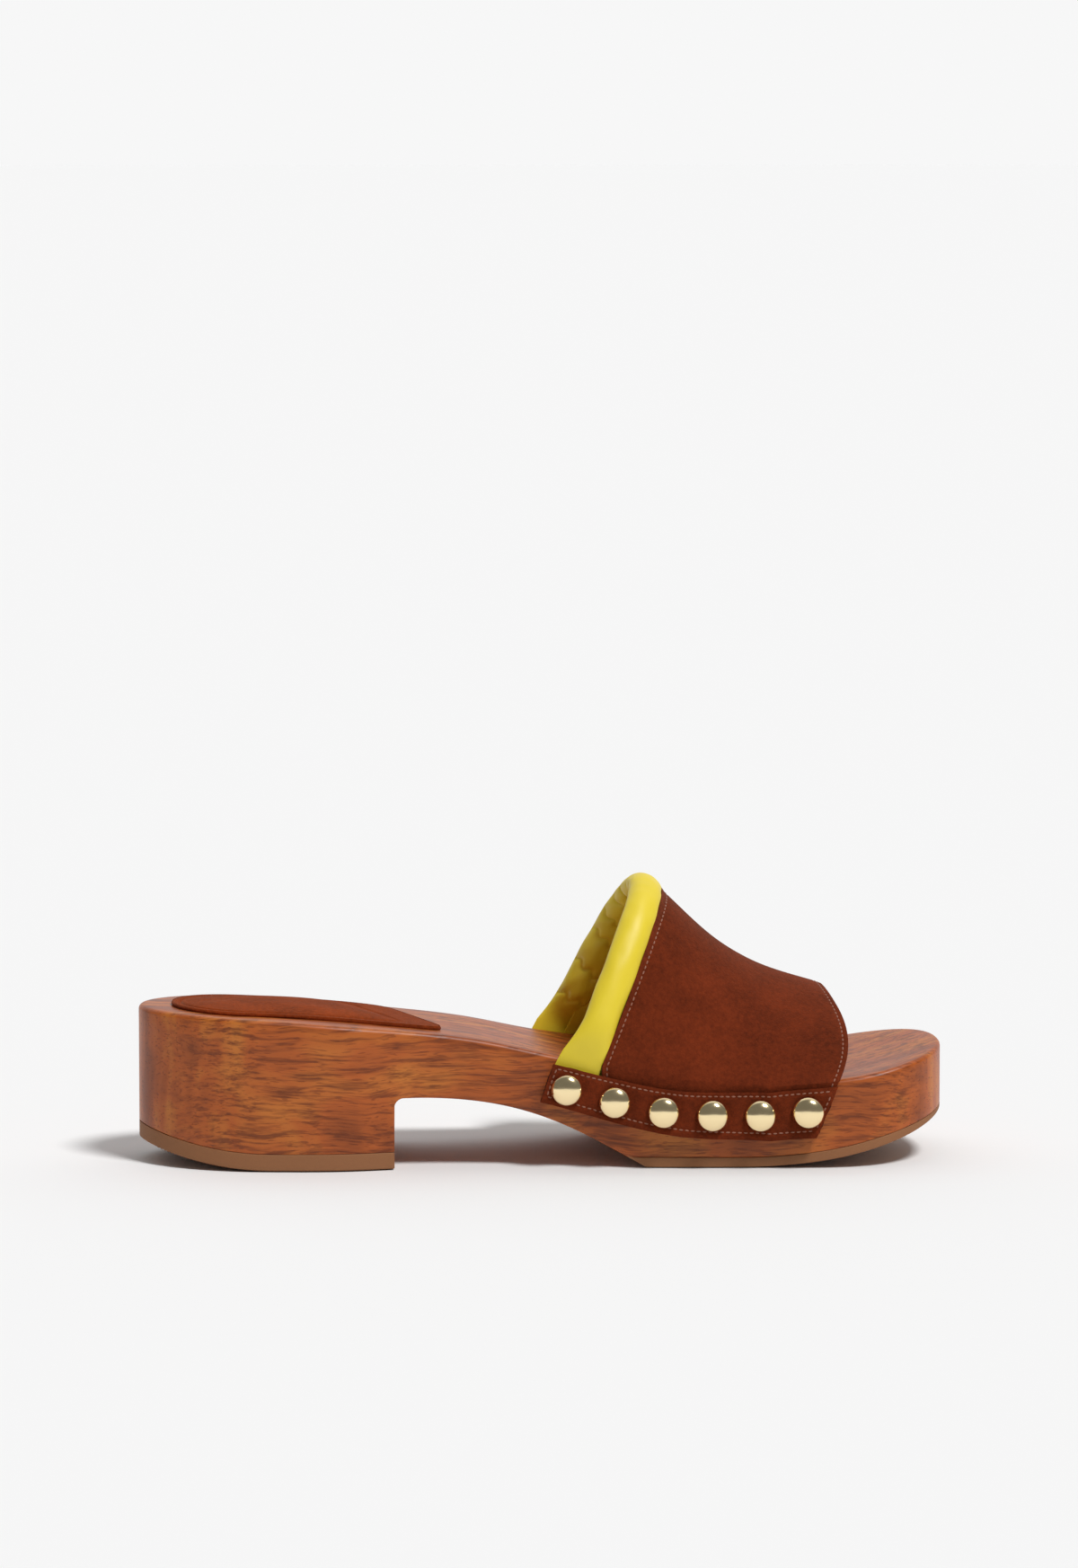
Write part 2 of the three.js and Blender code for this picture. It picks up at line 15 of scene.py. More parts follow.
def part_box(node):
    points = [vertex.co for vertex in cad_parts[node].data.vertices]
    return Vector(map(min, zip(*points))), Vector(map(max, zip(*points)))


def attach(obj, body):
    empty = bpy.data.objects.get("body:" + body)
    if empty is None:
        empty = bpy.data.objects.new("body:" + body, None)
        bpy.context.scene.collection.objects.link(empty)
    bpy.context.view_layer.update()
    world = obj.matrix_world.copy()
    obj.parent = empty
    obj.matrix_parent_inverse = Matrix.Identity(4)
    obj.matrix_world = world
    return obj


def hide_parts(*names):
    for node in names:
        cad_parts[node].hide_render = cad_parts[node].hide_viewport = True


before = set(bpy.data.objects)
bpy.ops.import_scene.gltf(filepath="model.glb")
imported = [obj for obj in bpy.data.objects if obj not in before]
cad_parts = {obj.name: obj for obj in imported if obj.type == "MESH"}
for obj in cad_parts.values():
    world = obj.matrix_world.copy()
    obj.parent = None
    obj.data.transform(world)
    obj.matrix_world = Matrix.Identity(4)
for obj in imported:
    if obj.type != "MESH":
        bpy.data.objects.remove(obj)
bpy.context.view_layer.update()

bl_info = {
    "name": "Wooden clog",
    "version": (1, 0, 0),
    "blender": (4, 5, 0),
    "location": "View3D > Sidebar > Clog",
    "description": "Builds a wooden slide clog with a suede vamp, a padded collar and brass studs",
    "category": "Add Mesh",
}

MM = 0.001
INNER = -1
OUTER = 1


# ---------------------------------------------------------------- the clog's form, in mm

# Distances along the sole run from the back of the heel. The sole, the upper and the bands
# follow the same curves as the CAD model, whose size and place come from the frame. Only the
# collar's flare at its foot is smaller and gentler than the CAD's.
SOLE_LOW, SOLE_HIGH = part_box("wooden_sole")
SOLE_LENGTH = (SOLE_HIGH.x - SOLE_LOW.x) / MM
HEEL_LENGTH = (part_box("rubber_heel_lift")[1].x - SOLE_LOW.x) / MM
HEEL_HEIGHT = 49.3
BALL_HEIGHT = 25.9
TOE_HEIGHT = 36.0
HEEL_ROUND = 37.0
TOE_ROUND = 44.0
TOE_SQUARENESS = 2.22
TOE_LEAN = 5.0
HEEL_WIDTH = 60.0
WAIST_WIDTH = 58.0
BALL_WIDTH = 86.0

WAIST_HEIGHT = 22.4
BREAST_FILLET = 3.0
ARCH_END = SOLE_LENGTH - 98.0
ARCH_SLOPE = 0.56
HEEL_ROCKER = 7.0
HEEL_ROCKER_LENGTH = 40.0
TOE_SPRING = 15.3
TOE_SPRING_LENGTH = 68.0
LIFT_THICKNESS = 5.4
OUTSOLE_THICKNESS = 3.2
OUTSOLE_TIP = 1.2
OUTSOLE_FADE = 30.0

THROAT_AT_WALL = SOLE_LENGTH - 111.8
THROAT_AT_RIDGE = SOLE_LENGTH - 88.0
THROAT_BOW = 1.1
VAMP_FRONT = SOLE_LENGTH - 38.6
VAMP_FRONT_LEAN = 1.9
VAMP_FRONT_BULGE = 4.0
VAMP_TUCK = 14.0
OUTER_FALL = 0.42
FRONT_SLANT = 0.42
REAR_SLANT = 0.3
LINING_INSIDE = 0.4
LINING_THICKNESS = 0.7
VAMP_OUTSIDE = 2.6
VAMP_THICKNESS = 1.2
BAND_INSIDE = 2.9
BAND_THICKNESS = 1.6

COLLAR_WIDTH = 11.0
COLLAR_THICKNESS = 8.6
COLLAR_TILT = math.radians(24)
COLLAR_SINK = 1.0
COLLAR_FLARE = 3.5
FLARE_FULL = -9.0
FLARE_GONE = 12.0
COLLAR_TAIL = 1.93

BAND_REAR = SOLE_LENGTH - 129.6
BAND_FRONT = SOLE_LENGTH - 42.5
BAND_HEIGHT_REAR = 13.2
BAND_HEIGHT_FRONT = 15.8

STUD_COUNT = 6
STUD_REAR = SOLE_LENGTH - 122.7
STUD_FRONT = SOLE_LENGTH - 47.7
STUD_CLIMB = 0.8
STUD_BASE = 4.9
STUD_GRIP = 8.5

NAIL_SEAT = 5.6
NAIL_HEAD_THICKNESS = 0.95

PAD_INNER_HALF = 21.5
PAD_OUTER_HALF = 20.5
PAD_SLANT = 17.8
PAD_RIM = 1.2
PAD_GROOVE = 0.85
PAD_FLANGE = 2.6
PAD_FRONT_FLANGE = 9.5
PAD_SWELLING = 0.7
SWELL_STEPS = 20

INNER_HALF = [(0, HEEL_WIDTH * 0.45), (28, HEEL_WIDTH / 2), (60, HEEL_WIDTH * 0.56),
              (90, WAIST_WIDTH * 0.525), (SOLE_LENGTH - 130, WAIST_WIDTH * 0.56),
              (SOLE_LENGTH - 90, BALL_WIDTH * 0.449), (SOLE_LENGTH - 60, BALL_WIDTH * 0.488),
              (SOLE_LENGTH - 40, BALL_WIDTH * 0.525), (SOLE_LENGTH, BALL_WIDTH * 0.58)]
OUTER_HALF = [(0, HEEL_WIDTH * 0.5), (28, HEEL_WIDTH * 0.495), (60, HEEL_WIDTH * 0.486),
              (88, WAIST_WIDTH * 0.475), (SOLE_LENGTH - 130, WAIST_WIDTH * 0.514),
              (SOLE_LENGTH - 90, BALL_WIDTH * 0.461), (SOLE_LENGTH - 60, BALL_WIDTH * 0.504),
              (SOLE_LENGTH - 40, BALL_WIDTH * 0.495), (SOLE_LENGTH, BALL_WIDTH * 0.5)]
HEEL_CLIMB = [(0, 1), (25, 0.95), (50, 0.885), (80, 0.756), (105, 0.615),
              (SOLE_LENGTH - 125, 0.385), (SOLE_LENGTH - 90, 0.124), (SOLE_LENGTH - 60, 0)]
TOE_CLIMB = [(SOLE_LENGTH - 60, 0), (SOLE_LENGTH - 30, 0.3), (SOLE_LENGTH, 1)]
RIDGE_RISE = [(SOLE_LENGTH - 115, 75.5), (SOLE_LENGTH - 95, 61.5), (SOLE_LENGTH - 88, 54.8),
              (SOLE_LENGTH - 73, 40.7), (SOLE_LENGTH - 61, 32.8), (SOLE_LENGTH - 50, 28),
              (SOLE_LENGTH - 35, 23.7)]
BAND_DEPTH = [(SOLE_LENGTH - 128, 8.5), (SOLE_LENGTH - 92, 10.9), (SOLE_LENGTH - 60, 9.2),
              (SOLE_LENGTH - 40, 9.2)]


def mix(a, b, t):
    """The value or point a share t of the way from a to b."""
    return a + (b - a) * t


def clamp(value, low=0.0, high=1.0):
    return max(low, min(high, value))


def ease(value, low, high):
    """Rises smoothly from 0 at low to 1 at high."""
    t = clamp((value - low) / (high - low))
    return t * t * (3 - 2 * t)


def hump(distance, width):
    """1 at distance 0, falling smoothly to 0 a few widths away."""
    return math.exp(-(distance / width) ** 2)


def along(stations, x):
    """A smooth curve through (x, value) stations, held level past its ends."""
    last = len(stations) - 1
    place = clamp(x, stations[0][0], stations[last][0])
    i = 0
    while i < last - 1 and place > stations[i + 1][0]:
        i += 1

    def slope(j):
        before, after = stations[max(j - 1, 0)], stations[min(j + 1, last)]
        return (after[1] - before[1]) / (after[0] - before[0])

    (x0, low), (x1, high) = stations[i], stations[i + 1]
    span = x1 - x0
    t = (place - x0) / span
    s = 1 - t
    return (low * s * s * (1 + 2 * t) + slope(i) * span * t * s * s
            + high * t * t * (3 - 2 * t) - slope(i + 1) * span * t * t * s)


def footbed(x):
    if x < SOLE_LENGTH - 60:
        return mix(BALL_HEIGHT, HEEL_HEIGHT, along(HEEL_CLIMB, x))
    return mix(BALL_HEIGHT, TOE_HEIGHT, along(TOE_CLIMB, x))


def tread(x):
    back = max(HEEL_ROCKER_LENGTH - x, 0) / HEEL_ROCKER_LENGTH
    front = max(x - (SOLE_LENGTH - TOE_SPRING_LENGTH), 0) / TOE_SPRING_LENGTH
    return HEEL_ROCKER * back * back + TOE_SPRING * front * front


def outsole_top(x):
    fade = clamp((x - SOLE_LENGTH + OUTSOLE_FADE) / OUTSOLE_FADE)
    return tread(x) + mix(OUTSOLE_THICKNESS, OUTSOLE_TIP, fade * fade)


def wall(x, side):
    """Y of the sole's side wall at x, before the shift into the frame."""
    place = clamp(x, 0, SOLE_LENGTH)
    back = max(HEEL_ROUND - place, 0) / HEEL_ROUND
    front = max(place - (SOLE_LENGTH - TOE_ROUND), 0) / TOE_ROUND
    rounding = math.sqrt(1 - back * back)
    rounding *= (1 - front ** TOE_SQUARENESS) ** (1 / TOE_SQUARENESS)
    half = along(INNER_HALF if side == INNER else OUTER_HALF, place)
    return side * half * rounding - TOE_LEAN * front * front


def middle(x):
    return (wall(x, INNER) + wall(x, OUTER)) / 2


def wall_normal(x, side):
    rise = (wall(x + 1, side) - wall(x - 1, side)) / 2
    return Vector((-side * rise, side, 0)).normalized()


SHIFT = Vector((SOLE_LOW.x / MM, SOLE_LOW.y / MM - min(wall(x, INNER) for x in range(200, 240)), 0))


def to_frame(point):
    """A design point in millimetres, as a place in the frame in metres."""
    return (Vector(point) + SHIFT) * MM


ARCH_START = HEEL_LENGTH + BREAST_FILLET + 1
ARCH_REACH = 25.0
ARCH_X = (ARCH_START, mix(ARCH_START, ARCH_END, 0.48), ARCH_END - ARCH_REACH, ARCH_END)
ARCH_Z = (WAIST_HEIGHT, WAIST_HEIGHT, ARCH_REACH * ARCH_SLOPE, 0.0)


def bezier(ends, t):
    s = 1 - t
    return (ends[0] * s ** 3 + 3 * ends[1] * s * s * t + 3 * ends[2] * s * t * t
            + ends[3] * t ** 3)


def arch(x):
    """Height of the arch under the waist, whose X grows steadily with its parameter."""
    low, high = 0.0, 1.0
    for _ in range(30):
        t = (low + high) / 2
        if bezier(ARCH_X, t) < x:
            low = t
        else:
            high = t
    return bezier(ARCH_Z, low)


def wood_underside(x):
    """Height of the wood's underside, which starts just above the rubber under it."""
    seam = 0.06
    if x <= HEEL_LENGTH:
        return tread(x) + LIFT_THICKNESS + seam
    if x < HEEL_LENGTH + BREAST_FILLET:
        across = 1 - (x - HEEL_LENGTH) / BREAST_FILLET
        return WAIST_HEIGHT - BREAST_FILLET * (1 - math.sqrt(1 - across * across))
    if x < ARCH_START:
        return WAIST_HEIGHT
    return max(arch(x), outsole_top(x) + seam)


def wall_depth(g):
    return max(abs(g) - 1, 0) * VAMP_TUCK


def ridge(x):
    return BALL_HEIGHT + along(RIDGE_RISE, x)


def upper_point(x, g, off):
    """A point of the upper, off outside the sole's wall. g runs round the foot, from -1 at the
    inner wall's top edge over the instep at 0 to +1 at the outer one, and past them down
    the walls."""
    side = INNER if g < 0 else OUTER
    share = min(abs(g), 1)
    edge = footbed(x)
    foot = wall(x, side) + side * off
    fall = share * share * (1 + (OUTER_FALL * (1 - share) if side == OUTER else 0))
    rise = (ridge(x) + off - edge) * (1 - fall)
    return Vector((x, mix(middle(x), foot, share), edge + rise - wall_depth(g)))


def climb(g):
    return 1 - min(g * g, 1)


def throat(g):
    bow = THROAT_BOW * 4 * climb(g) * (1 - climb(g)) if g < 0 else 0
    return mix(THROAT_AT_WALL, THROAT_AT_RIDGE, climb(g)) + bow


def front_edge(g):
    bulge = VAMP_FRONT_LEAN * climb(g) + VAMP_FRONT_BULGE * 4 * climb(g) * (1 - climb(g))
    return VAMP_FRONT + bulge - FRONT_SLANT * wall_depth(g)


def band_middle(x):
    return footbed(x) - along(BAND_DEPTH, x)


def band_point(side, u, up, off):
    """A point of a band: u from its rear end to its front end, up from its middle line."""
    x = mix(BAND_REAR + REAR_SLANT * up, BAND_FRONT + FRONT_SLANT * up, u)
    return Vector((x, wall(x, side) + side * off, band_middle(x) + up))


def band_half(u):
    return mix(BAND_HEIGHT_REAR, BAND_HEIGHT_FRONT, u) / 2


def stud_seats(side):
    """The place on the sole's wall and the wall's normal, for each stud of a side."""
    seats = []
    for i in range(STUD_COUNT):
        t = i / (STUD_COUNT - 1)
        x = mix(STUD_REAR, STUD_FRONT, t)
        seat = Vector((x, wall(x, side), band_middle(x) + STUD_CLIMB * (t - 0.45)))
        seats.append((seat, wall_normal(x, side)))
    return seats


COLLAR_ACROSS = Vector((math.cos(COLLAR_TILT), 0, -math.sin(COLLAR_TILT)))
VAMP_MIDDLE = VAMP_OUTSIDE - VAMP_THICKNESS / 2


def collar_centre(g):
    held = clamp(g, -1, 1)
    centre = upper_point(throat(held), held, VAMP_MIDDLE)
    centre -= COLLAR_ACROSS * (COLLAR_WIDTH / 2 + 0.3)
    centre.x -= REAR_SLANT * wall_depth(g)
    centre.z -= wall_depth(g)
    return centre


def collar_above(g):
    """Height of the roll above the sole's top edge, negative down the wall."""
    x = throat(g)
    return (ridge(x) - footbed(x)) * climb(g) - wall_depth(g)


def collar_flat(g):
    """How far the roll has flattened: 0 over the instep, 1 along the wall."""
    return 1 - ease(collar_above(g), -1, 16)


def collar_point(g, a, b):
    """A point of the collar's section at g: a across the roll, b outwards from its middle."""
    held = clamp(g, -0.99, 0.99)
    run = (collar_centre(held + 0.01) - collar_centre(held - 0.01)).normalized()
    outwards = COLLAR_ACROSS.cross(run).normalized()
    centre = collar_centre(g) + COLLAR_ACROSS * a
    side = INNER if g < 0 else OUTER
    flat = centre.copy()
    flat.y = wall(centre.x, side) + side * (VAMP_MIDDLE + b)
    return mix(centre + outwards * (b - COLLAR_SINK), flat, collar_flat(g))


# ---------------------------------------------------------------- sizes and colours

def to_linear(hex_colour):
    """An sRGB hex colour as linear RGBA."""
    channels = [int(hex_colour[i:i + 2], 16) / 255 for i in (1, 3, 5)]
    return [c / 12.92 if c <= 0.04045 else ((c + 0.055) / 1.055) ** 2.4 for c in channels] + [1]


def length_property(name, default, description):
    return bpy.props.FloatProperty(
        name=name, description=description, default=default * MM, min=0,
        unit="LENGTH", precision=5)


def colour_property(name, hex_colour, description):
    return bpy.props.FloatVectorProperty(
        name=name, description=description, default=to_linear(hex_colour), size=4,
        subtype="COLOR", min=0, max=1)


class ClogSizes(bpy.types.PropertyGroup):
    """Sizes of the clog's finish that can be changed without changing its form."""
    top_round: length_property("Top edge", 1.5, "Radius of the sole's upper edge")
    low_round: length_property("Lower edge", 0.7, "Radius of the sole's lower edge")
    dish: length_property("Dish", 1.4, "Depth of the footbed's hollow under the forefoot")
    rib_pitch: length_property("Rib pitch", 0.95, "Distance between the tread's ribs")
    rib_depth: length_property("Rib depth", 0.3, "Height of the tread's ribs")
    stitch_pitch: length_property("Stitch pitch", 1.85, "Distance between stitches")
    stitch_length: length_property("Stitch length", 1.3, "Visible length of a stitch")
    thread_width: length_property("Thread width", 0.5, "Width of the sewing thread")
    pad_crown: length_property("Pad crown", 1.9,
                               "Height the pad's crown is shaped for, before its cloth settles")
    crease_depth: length_property("Crease depth", 1.7, "Depth of the collar's inner creases")
    stud_head: length_property("Stud head", 10.0, "Diameter of a stud's head")
    stud_rise: length_property("Stud height", 3.2, "Height of a stud's dome")


class ClogColours(bpy.types.PropertyGroup):
    """Colours of the clog's finishes."""
    wood: colour_property("Wood", "#b05820", "Body of the oiled wood")
    wood_dark: colour_property("Wood streaks", "#5c260b", "Late wood and pores")
    wood_light: colour_property("Wood highlights", "#c0702b", "Light bands of the wood")
    suede: colour_property("Suede", "#67270f", "Napped suede of vamp and bands")
    pad_suede: colour_property("Pad suede", "#823613", "Brushed suede of the heel pad")
    # the cut edge's dark colour is partly the raw cut and partly painted shade along the suede's
    # edges
    cut_edge_and_shade: colour_property("Cut edge", "#3b1a0f", "Cut edges of the suede")
    leather: colour_property("Leather", "#ead132", "Smooth leather of collar and lining")
    rubber: colour_property("Rubber", "#92603a", "Moulded rubber treads")
    thread: colour_property("Thread", "#94604a", "Sewing thread")
    brass: colour_property("Brass", "#ffe9b8", "Polished stud heads")
    floor: colour_property("Floor", "#f1f1f1", "Studio floor")


# ---------------------------------------------------------------- mesh helpers

def bent_grid(columns, rows, place, wrap=False):
    """A grid whose corner (u, v), both from 0 to 1, lies at place(u, v), in design mm.
    With wrap, coinciding corners are merged, which closes seams and poles."""
    bm = bmesh.new()
    bmesh.ops.create_grid(bm, x_segments=columns, y_segments=rows, size=1)
    for vert in bm.verts:
        vert.co = to_frame(place((vert.co.x + 1) / 2, (vert.co.y + 1) / 2))
    if wrap:
        bmesh.ops.remove_doubles(bm, verts=bm.verts, dist=0.004 * MM)
        bmesh.ops.recalc_face_normals(bm, faces=bm.faces)
    return bm


def face_away(bm, centre):
    """Turns an open sheet's faces so that they look away from a point of the frame."""
    bm.normal_update()
    seen = sum(f.normal.dot(f.calc_center_median() - centre) * f.calc_area() for f in bm.faces)
    if seen < 0:
        bmesh.ops.reverse_faces(bm, faces=bm.faces)


def finish_piece(bm, name, material, replaced, sharp=35, rim=None):
    """Makes an object of a bmesh that rides on the clog and stands for some CAD nodes. A sheet
    can have a second material for its rim."""
    mesh = bpy.data.meshes.new(name)
    bm.to_mesh(mesh)
    bm.free()
    mesh.shade_smooth()
    mesh.set_sharp_from_angle(angle=math.radians(sharp))
    mesh.materials.append(material)
    if rim:
        mesh.materials.append(rim)
    piece = bpy.data.objects.new(name, mesh)
    bpy.context.collection.objects.link(piece)
    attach(piece, "root")
    if replaced:
        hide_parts(*replaced)
    return piece


def thicken(piece, thickness, edge):
    """Gives an open sheet its wall, inwards, with softened edges."""
    solid = piece.modifiers.new("Wall", "SOLIDIFY")
    solid.thickness = thickness * MM
    solid.offset = -1
    solid.material_offset_rim = len(piece.data.materials) - 1
    bevel = piece.modifiers.new("Soft edge", "BEVEL")
    bevel.width = edge * MM
    bevel.segments = 2
    bevel.limit_method = "ANGLE"
    bevel.angle_limit = math.radians(50)
    normals = piece.modifiers.new("Even shading", "WEIGHTED_NORMAL")
    normals.keep_sharp = True


# ---------------------------------------------------------------- sole helpers

def spread(low, high, count):
    return [mix(low, high, i / count) for i in range(count + 1)]


def sole_stations(low, high):
    """Stations along the sole between two places, close together where it turns."""
    heel = [HEEL_ROUND * (1 - math.cos(a)) for a in spread(0, math.pi / 2, 26)]
    straight = spread(HEEL_ROUND, SOLE_LENGTH - TOE_ROUND, 96)
    toe = [SOLE_LENGTH - TOE_ROUND * (1 - math.sin(a)) for a in spread(0, math.pi / 2, 30)]
    breast = [HEEL_LENGTH + d for d in (-0.02, 0.02, 0.1, 0.3, 0.7, 1.3, 2.1, 3.0)]
    stations = sorted(set([low, high] + heel + straight + toe + breast))
    return [x for x in stations if low <= x <= high]


def outline(low, high):
    """The sole's outline between two stations as a closed loop of (point, inward, x)."""
    stations = sole_stations(low, high)
    loop = [Vector((x, wall(x, INNER), 0)) for x in stations]
    back = [Vector((x, wall(x, OUTER), 0)) for x in reversed(stations)]
    cross = 12
    if high < SOLE_LENGTH:
        loop += [mix(loop[-1], back[0], i / cross) for i in range(1, cross)]
    else:
        back.pop(0)
    loop += back
    if low > 0:
        loop += [mix(back[-1], loop[0], i / cross) for i in range(1, cross)]
    else:
        loop.pop()
    points = []
    for i, point in enumerate(loop):
        run = loop[(i + 1) % len(loop)] - loop[i - 1]
        points.append((point, Vector((-run.y, run.x, 0)).normalized()))
    return points


def slab(low, high, under, top, low_round, top_round):
    """A closed piece of the sole between two stations and two height functions. Its skin runs
    from the spine of its underside out to the edge, up the wall and back to the top's spine."""
    loop = outline(low, high)
    first = max(low + 20, HEEL_ROUND) if low == 0 else low + 12
    last = min(high - 20, SOLE_LENGTH - TOE_ROUND)
    across = [1 - (1 - t) ** 1.5 for t in spread(0, 1, 9)]
    turn = spread(0, math.pi / 2, 4)
    rows = [("under", a) for a in reversed(across)]
    rows += [("low", a) for a in turn[1:]]
    rows += [("wall", t) for t in spread(0, 1, 7)[1:-1]]
    rows += [("high", a) for a in turn[:-1]]
    rows += [("top", a) for a in across]

    def place(u, v):
        point, inward = loop[round(u * len(loop)) % len(loop)]
        kind, amount = rows[round(v * (len(rows) - 1))]
        spine_x = clamp(point.x, first, last)
        spine = Vector((spine_x, middle(spine_x), 0))
        if kind in ("under", "top"):
            inset = low_round if kind == "under" else top_round
            spot = mix(point + inward * inset, spine, amount)
            spot.z = under(spot.x) if kind == "under" else top(spot.x, amount)
            return spot
        if kind == "low":
            spot = point + inward * low_round * (1 - math.sin(amount))
            spot.z = under(point.x) + low_round * (1 - math.cos(amount))
            return spot
        if kind == "high":
            spot = point + inward * top_round * (1 - math.cos(amount))
            spot.z = top(spot.x, 0) - top_round * (1 - math.sin(amount))
            return spot
        spot = point.copy()
        spot.z = mix(under(point.x) + low_round, top(point.x, 0) - top_round, amount)
        return spot

    return bent_grid(len(loop), len(rows) - 1, place, wrap=True)


def add_ribs(bm, low, high, pitch, depth, holes=()):
    """Fine ribs across a tread from wall to wall, broken where they meet a hole."""
    for i in range(int((high - low) / pitch)):
        x = low + pitch * (i + 0.5)
        near = (x - pitch / 2, x, x + pitch / 2)
        ends = (max(wall(at, INNER) for at in near) + 1, min(wall(at, OUTER) for at in near) - 1)
        if ends[1] - ends[0] < 24:
            continue
        cuts = [ends[0]]
        for hole in sorted(holes, key=lambda spot: spot.y):
            if abs(hole.x - x) < NAIL_SEAT / 2:
                cuts += [hole.y - NAIL_SEAT / 2, hole.y + NAIL_SEAT / 2]
        cuts.append(ends[1])
        slope = math.atan2(tread(x + 0.5) - tread(x - 0.5), 1)
        turn = Matrix.Rotation(-slope, 4, "Y")
        for start, stop in zip(cuts[::2], cuts[1::2]):
            centre = Vector((x, (start + stop) / 2, tread(x) + depth * 0.6))
            size = Vector((pitch * 0.55, stop - start, depth * 1.2)) * MM
            shape = Matrix.Translation(to_frame(centre)) @ turn @ Matrix.Diagonal((*size, 1))
            bmesh.ops.create_cube(bm, size=1, matrix=shape)


def drill(bm, holes):
    """Bore a nail's seat from below the piece up to each hole's top."""
    cutter = bmesh.new()
    for hole in holes:
        deep = hole.z + 1
        seat = Matrix.Translation(to_frame((hole.x, hole.y, hole.z - deep / 2)))
        bmesh.ops.create_cone(cutter, cap_ends=True, segments=40, radius1=NAIL_SEAT / 2 * MM,
                              radius2=NAIL_SEAT / 2 * MM, depth=deep * MM, matrix=seat)
    pieces = []
    for name, source in (("drilled", bm), ("drill", cutter)):
        mesh = bpy.data.meshes.new(name)
        source.to_mesh(mesh)
        pieces.append(bpy.data.objects.new(name, mesh))
        bpy.context.collection.objects.link(pieces[-1])
    cutter.free()
    bore = pieces[0].modifiers.new("bore", "BOOLEAN")
    bore.operation = "DIFFERENCE"
    bore.solver = "EXACT"
    bore.object = pieces[1]
    done = pieces[0].evaluated_get(bpy.context.evaluated_depsgraph_get())
    bm.clear()
    bm.from_mesh(done.to_mesh())
    done.to_mesh_clear()
    for piece in pieces:
        mesh = piece.data
        bpy.data.objects.remove(piece)
        bpy.data.meshes.remove(mesh)


def swell(piece, held, reach):
    """Blow a padded piece up as cloth under pressure with its sewn edge held, let no point
    move further than reach, and keep the swollen shape."""
    scene = bpy.context.scene
    sewn = piece.vertex_groups.new(name="sewn")
    sewn.add(held, 1.0, "REPLACE")
    cloth = piece.modifiers.new("padding", "CLOTH")
    cloth.settings.mass = 0.01
    cloth.settings.quality = 4
    cloth.settings.tension_stiffness = 5
    cloth.settings.compression_stiffness = 5
    cloth.settings.shear_stiffness = 3
    cloth.settings.bending_stiffness = 0.05
    cloth.settings.use_pressure = True
    cloth.settings.uniform_pressure_force = 200
    cloth.settings.vertex_group_mass = "sewn"
    cloth.settings.effector_weights.gravity = 0
    cloth.collision_settings.use_collision = False
    cloth.point_cache.frame_end = SWELL_STEPS
    for step in range(1, SWELL_STEPS + 1):
        scene.frame_set(step)
    done = piece.evaluated_get(bpy.context.evaluated_depsgraph_get()).to_mesh()
    swollen = [vert.co.copy() for vert in done.vertices]
    piece.modifiers.remove(cloth)
    piece.vertex_groups.remove(sewn)
    for vert, spot in zip(piece.data.vertices, swollen):
        away = spot - vert.co
        vert.co += away * min(1, reach / max(away.length, 1e-9))
    scene.frame_set(1)


# ---------------------------------------------------------------- stitches

def stitch_row(bm, path, sizes, seed):
    """Lays stitches at an even pitch along path, which gives (point, normal) for 0 to 1."""
    chance = random.Random(seed)
    steps = 400
    points = [path(i / steps) for i in range(steps + 1)]
    pitch = sizes.stitch_pitch / MM
    travelled = 0.0
    due = pitch / 2
    for (a, normal), (b, _) in zip(points, points[1:]):
        step = (b - a).length
        while step > 0 and due <= travelled + step:
            centre = mix(a, b, (due - travelled) / step)
            add_stitch(bm, centre, (b - a).normalized(), normal, sizes, chance)
            due += pitch
        travelled += step


def add_stitch(bm, centre, run, normal, sizes, chance):
    """One sunk stitch: a thread end to end along run, its middle just proud of the leather."""
    turn = Matrix.Rotation(math.radians(chance.uniform(-7, 7)), 3, normal)
    run = turn @ run
    side = normal.cross(run).normalized()
    up = run.cross(side)
    length = sizes.stitch_length * chance.uniform(0.93, 1.05)
    axes = Matrix((run * length / 2, side * sizes.thread_width / 2,
                   up * sizes.thread_width * 0.42)).transposed().to_4x4()
    spot = to_frame(centre + up * 0.02)
    bmesh.ops.create_uvsphere(bm, u_segments=8, v_segments=6, radius=1,
                              matrix=Matrix.Translation(spot) @ axes
                              @ Matrix.Rotation(math.pi / 2, 4, "Y"))


def surface_normal(surface, u, v):
    """Outward unit normal of surface(u, v), pointing away from the foot."""
    step = 0.004
    across = surface(min(u + step, 1), v) - surface(max(u - step, 0), v)
    up = surface(u, min(v + step, 1)) - surface(u, max(v - step, 0))
    normal = across.cross(up).normalized()
    spot = surface(u, v)
    inside = Vector((spot.x, middle(spot.x), footbed(spot.x)))
    return normal if normal.dot(spot - inside) > 0 else -normal


# ---------------------------------------------------------------- materials

def add_node(tree, kind, values=None, **settings):
    """Adds a node. settings are its own properties, and values maps each input socket, by name
    or number, to a constant or to the output that feeds it."""
    node = tree.nodes.new(kind)
    for key, value in settings.items():
        setattr(node, key, value)
    for socket, value in (values or {}).items():
        if isinstance(value, bpy.types.NodeSocket):
            tree.links.new(value, node.inputs[socket])
        else:
            node.inputs[socket].default_value = value
    return node


def new_material(name):
    """A material with only its output node, and its tree."""
    material = bpy.data.materials.new(name)
    material.use_nodes = True
    tree = material.node_tree
    tree.nodes.clear()
    return material, tree


def finish_material(tree, shader):
    output = add_node(tree, "ShaderNodeOutputMaterial")
    tree.links.new(shader.outputs["BSDF"], output.inputs["Surface"])


def per_metre(size_mm):
    """The scale of a texture whose features are that many millimetres across."""
    return 1 / (size_mm * MM)


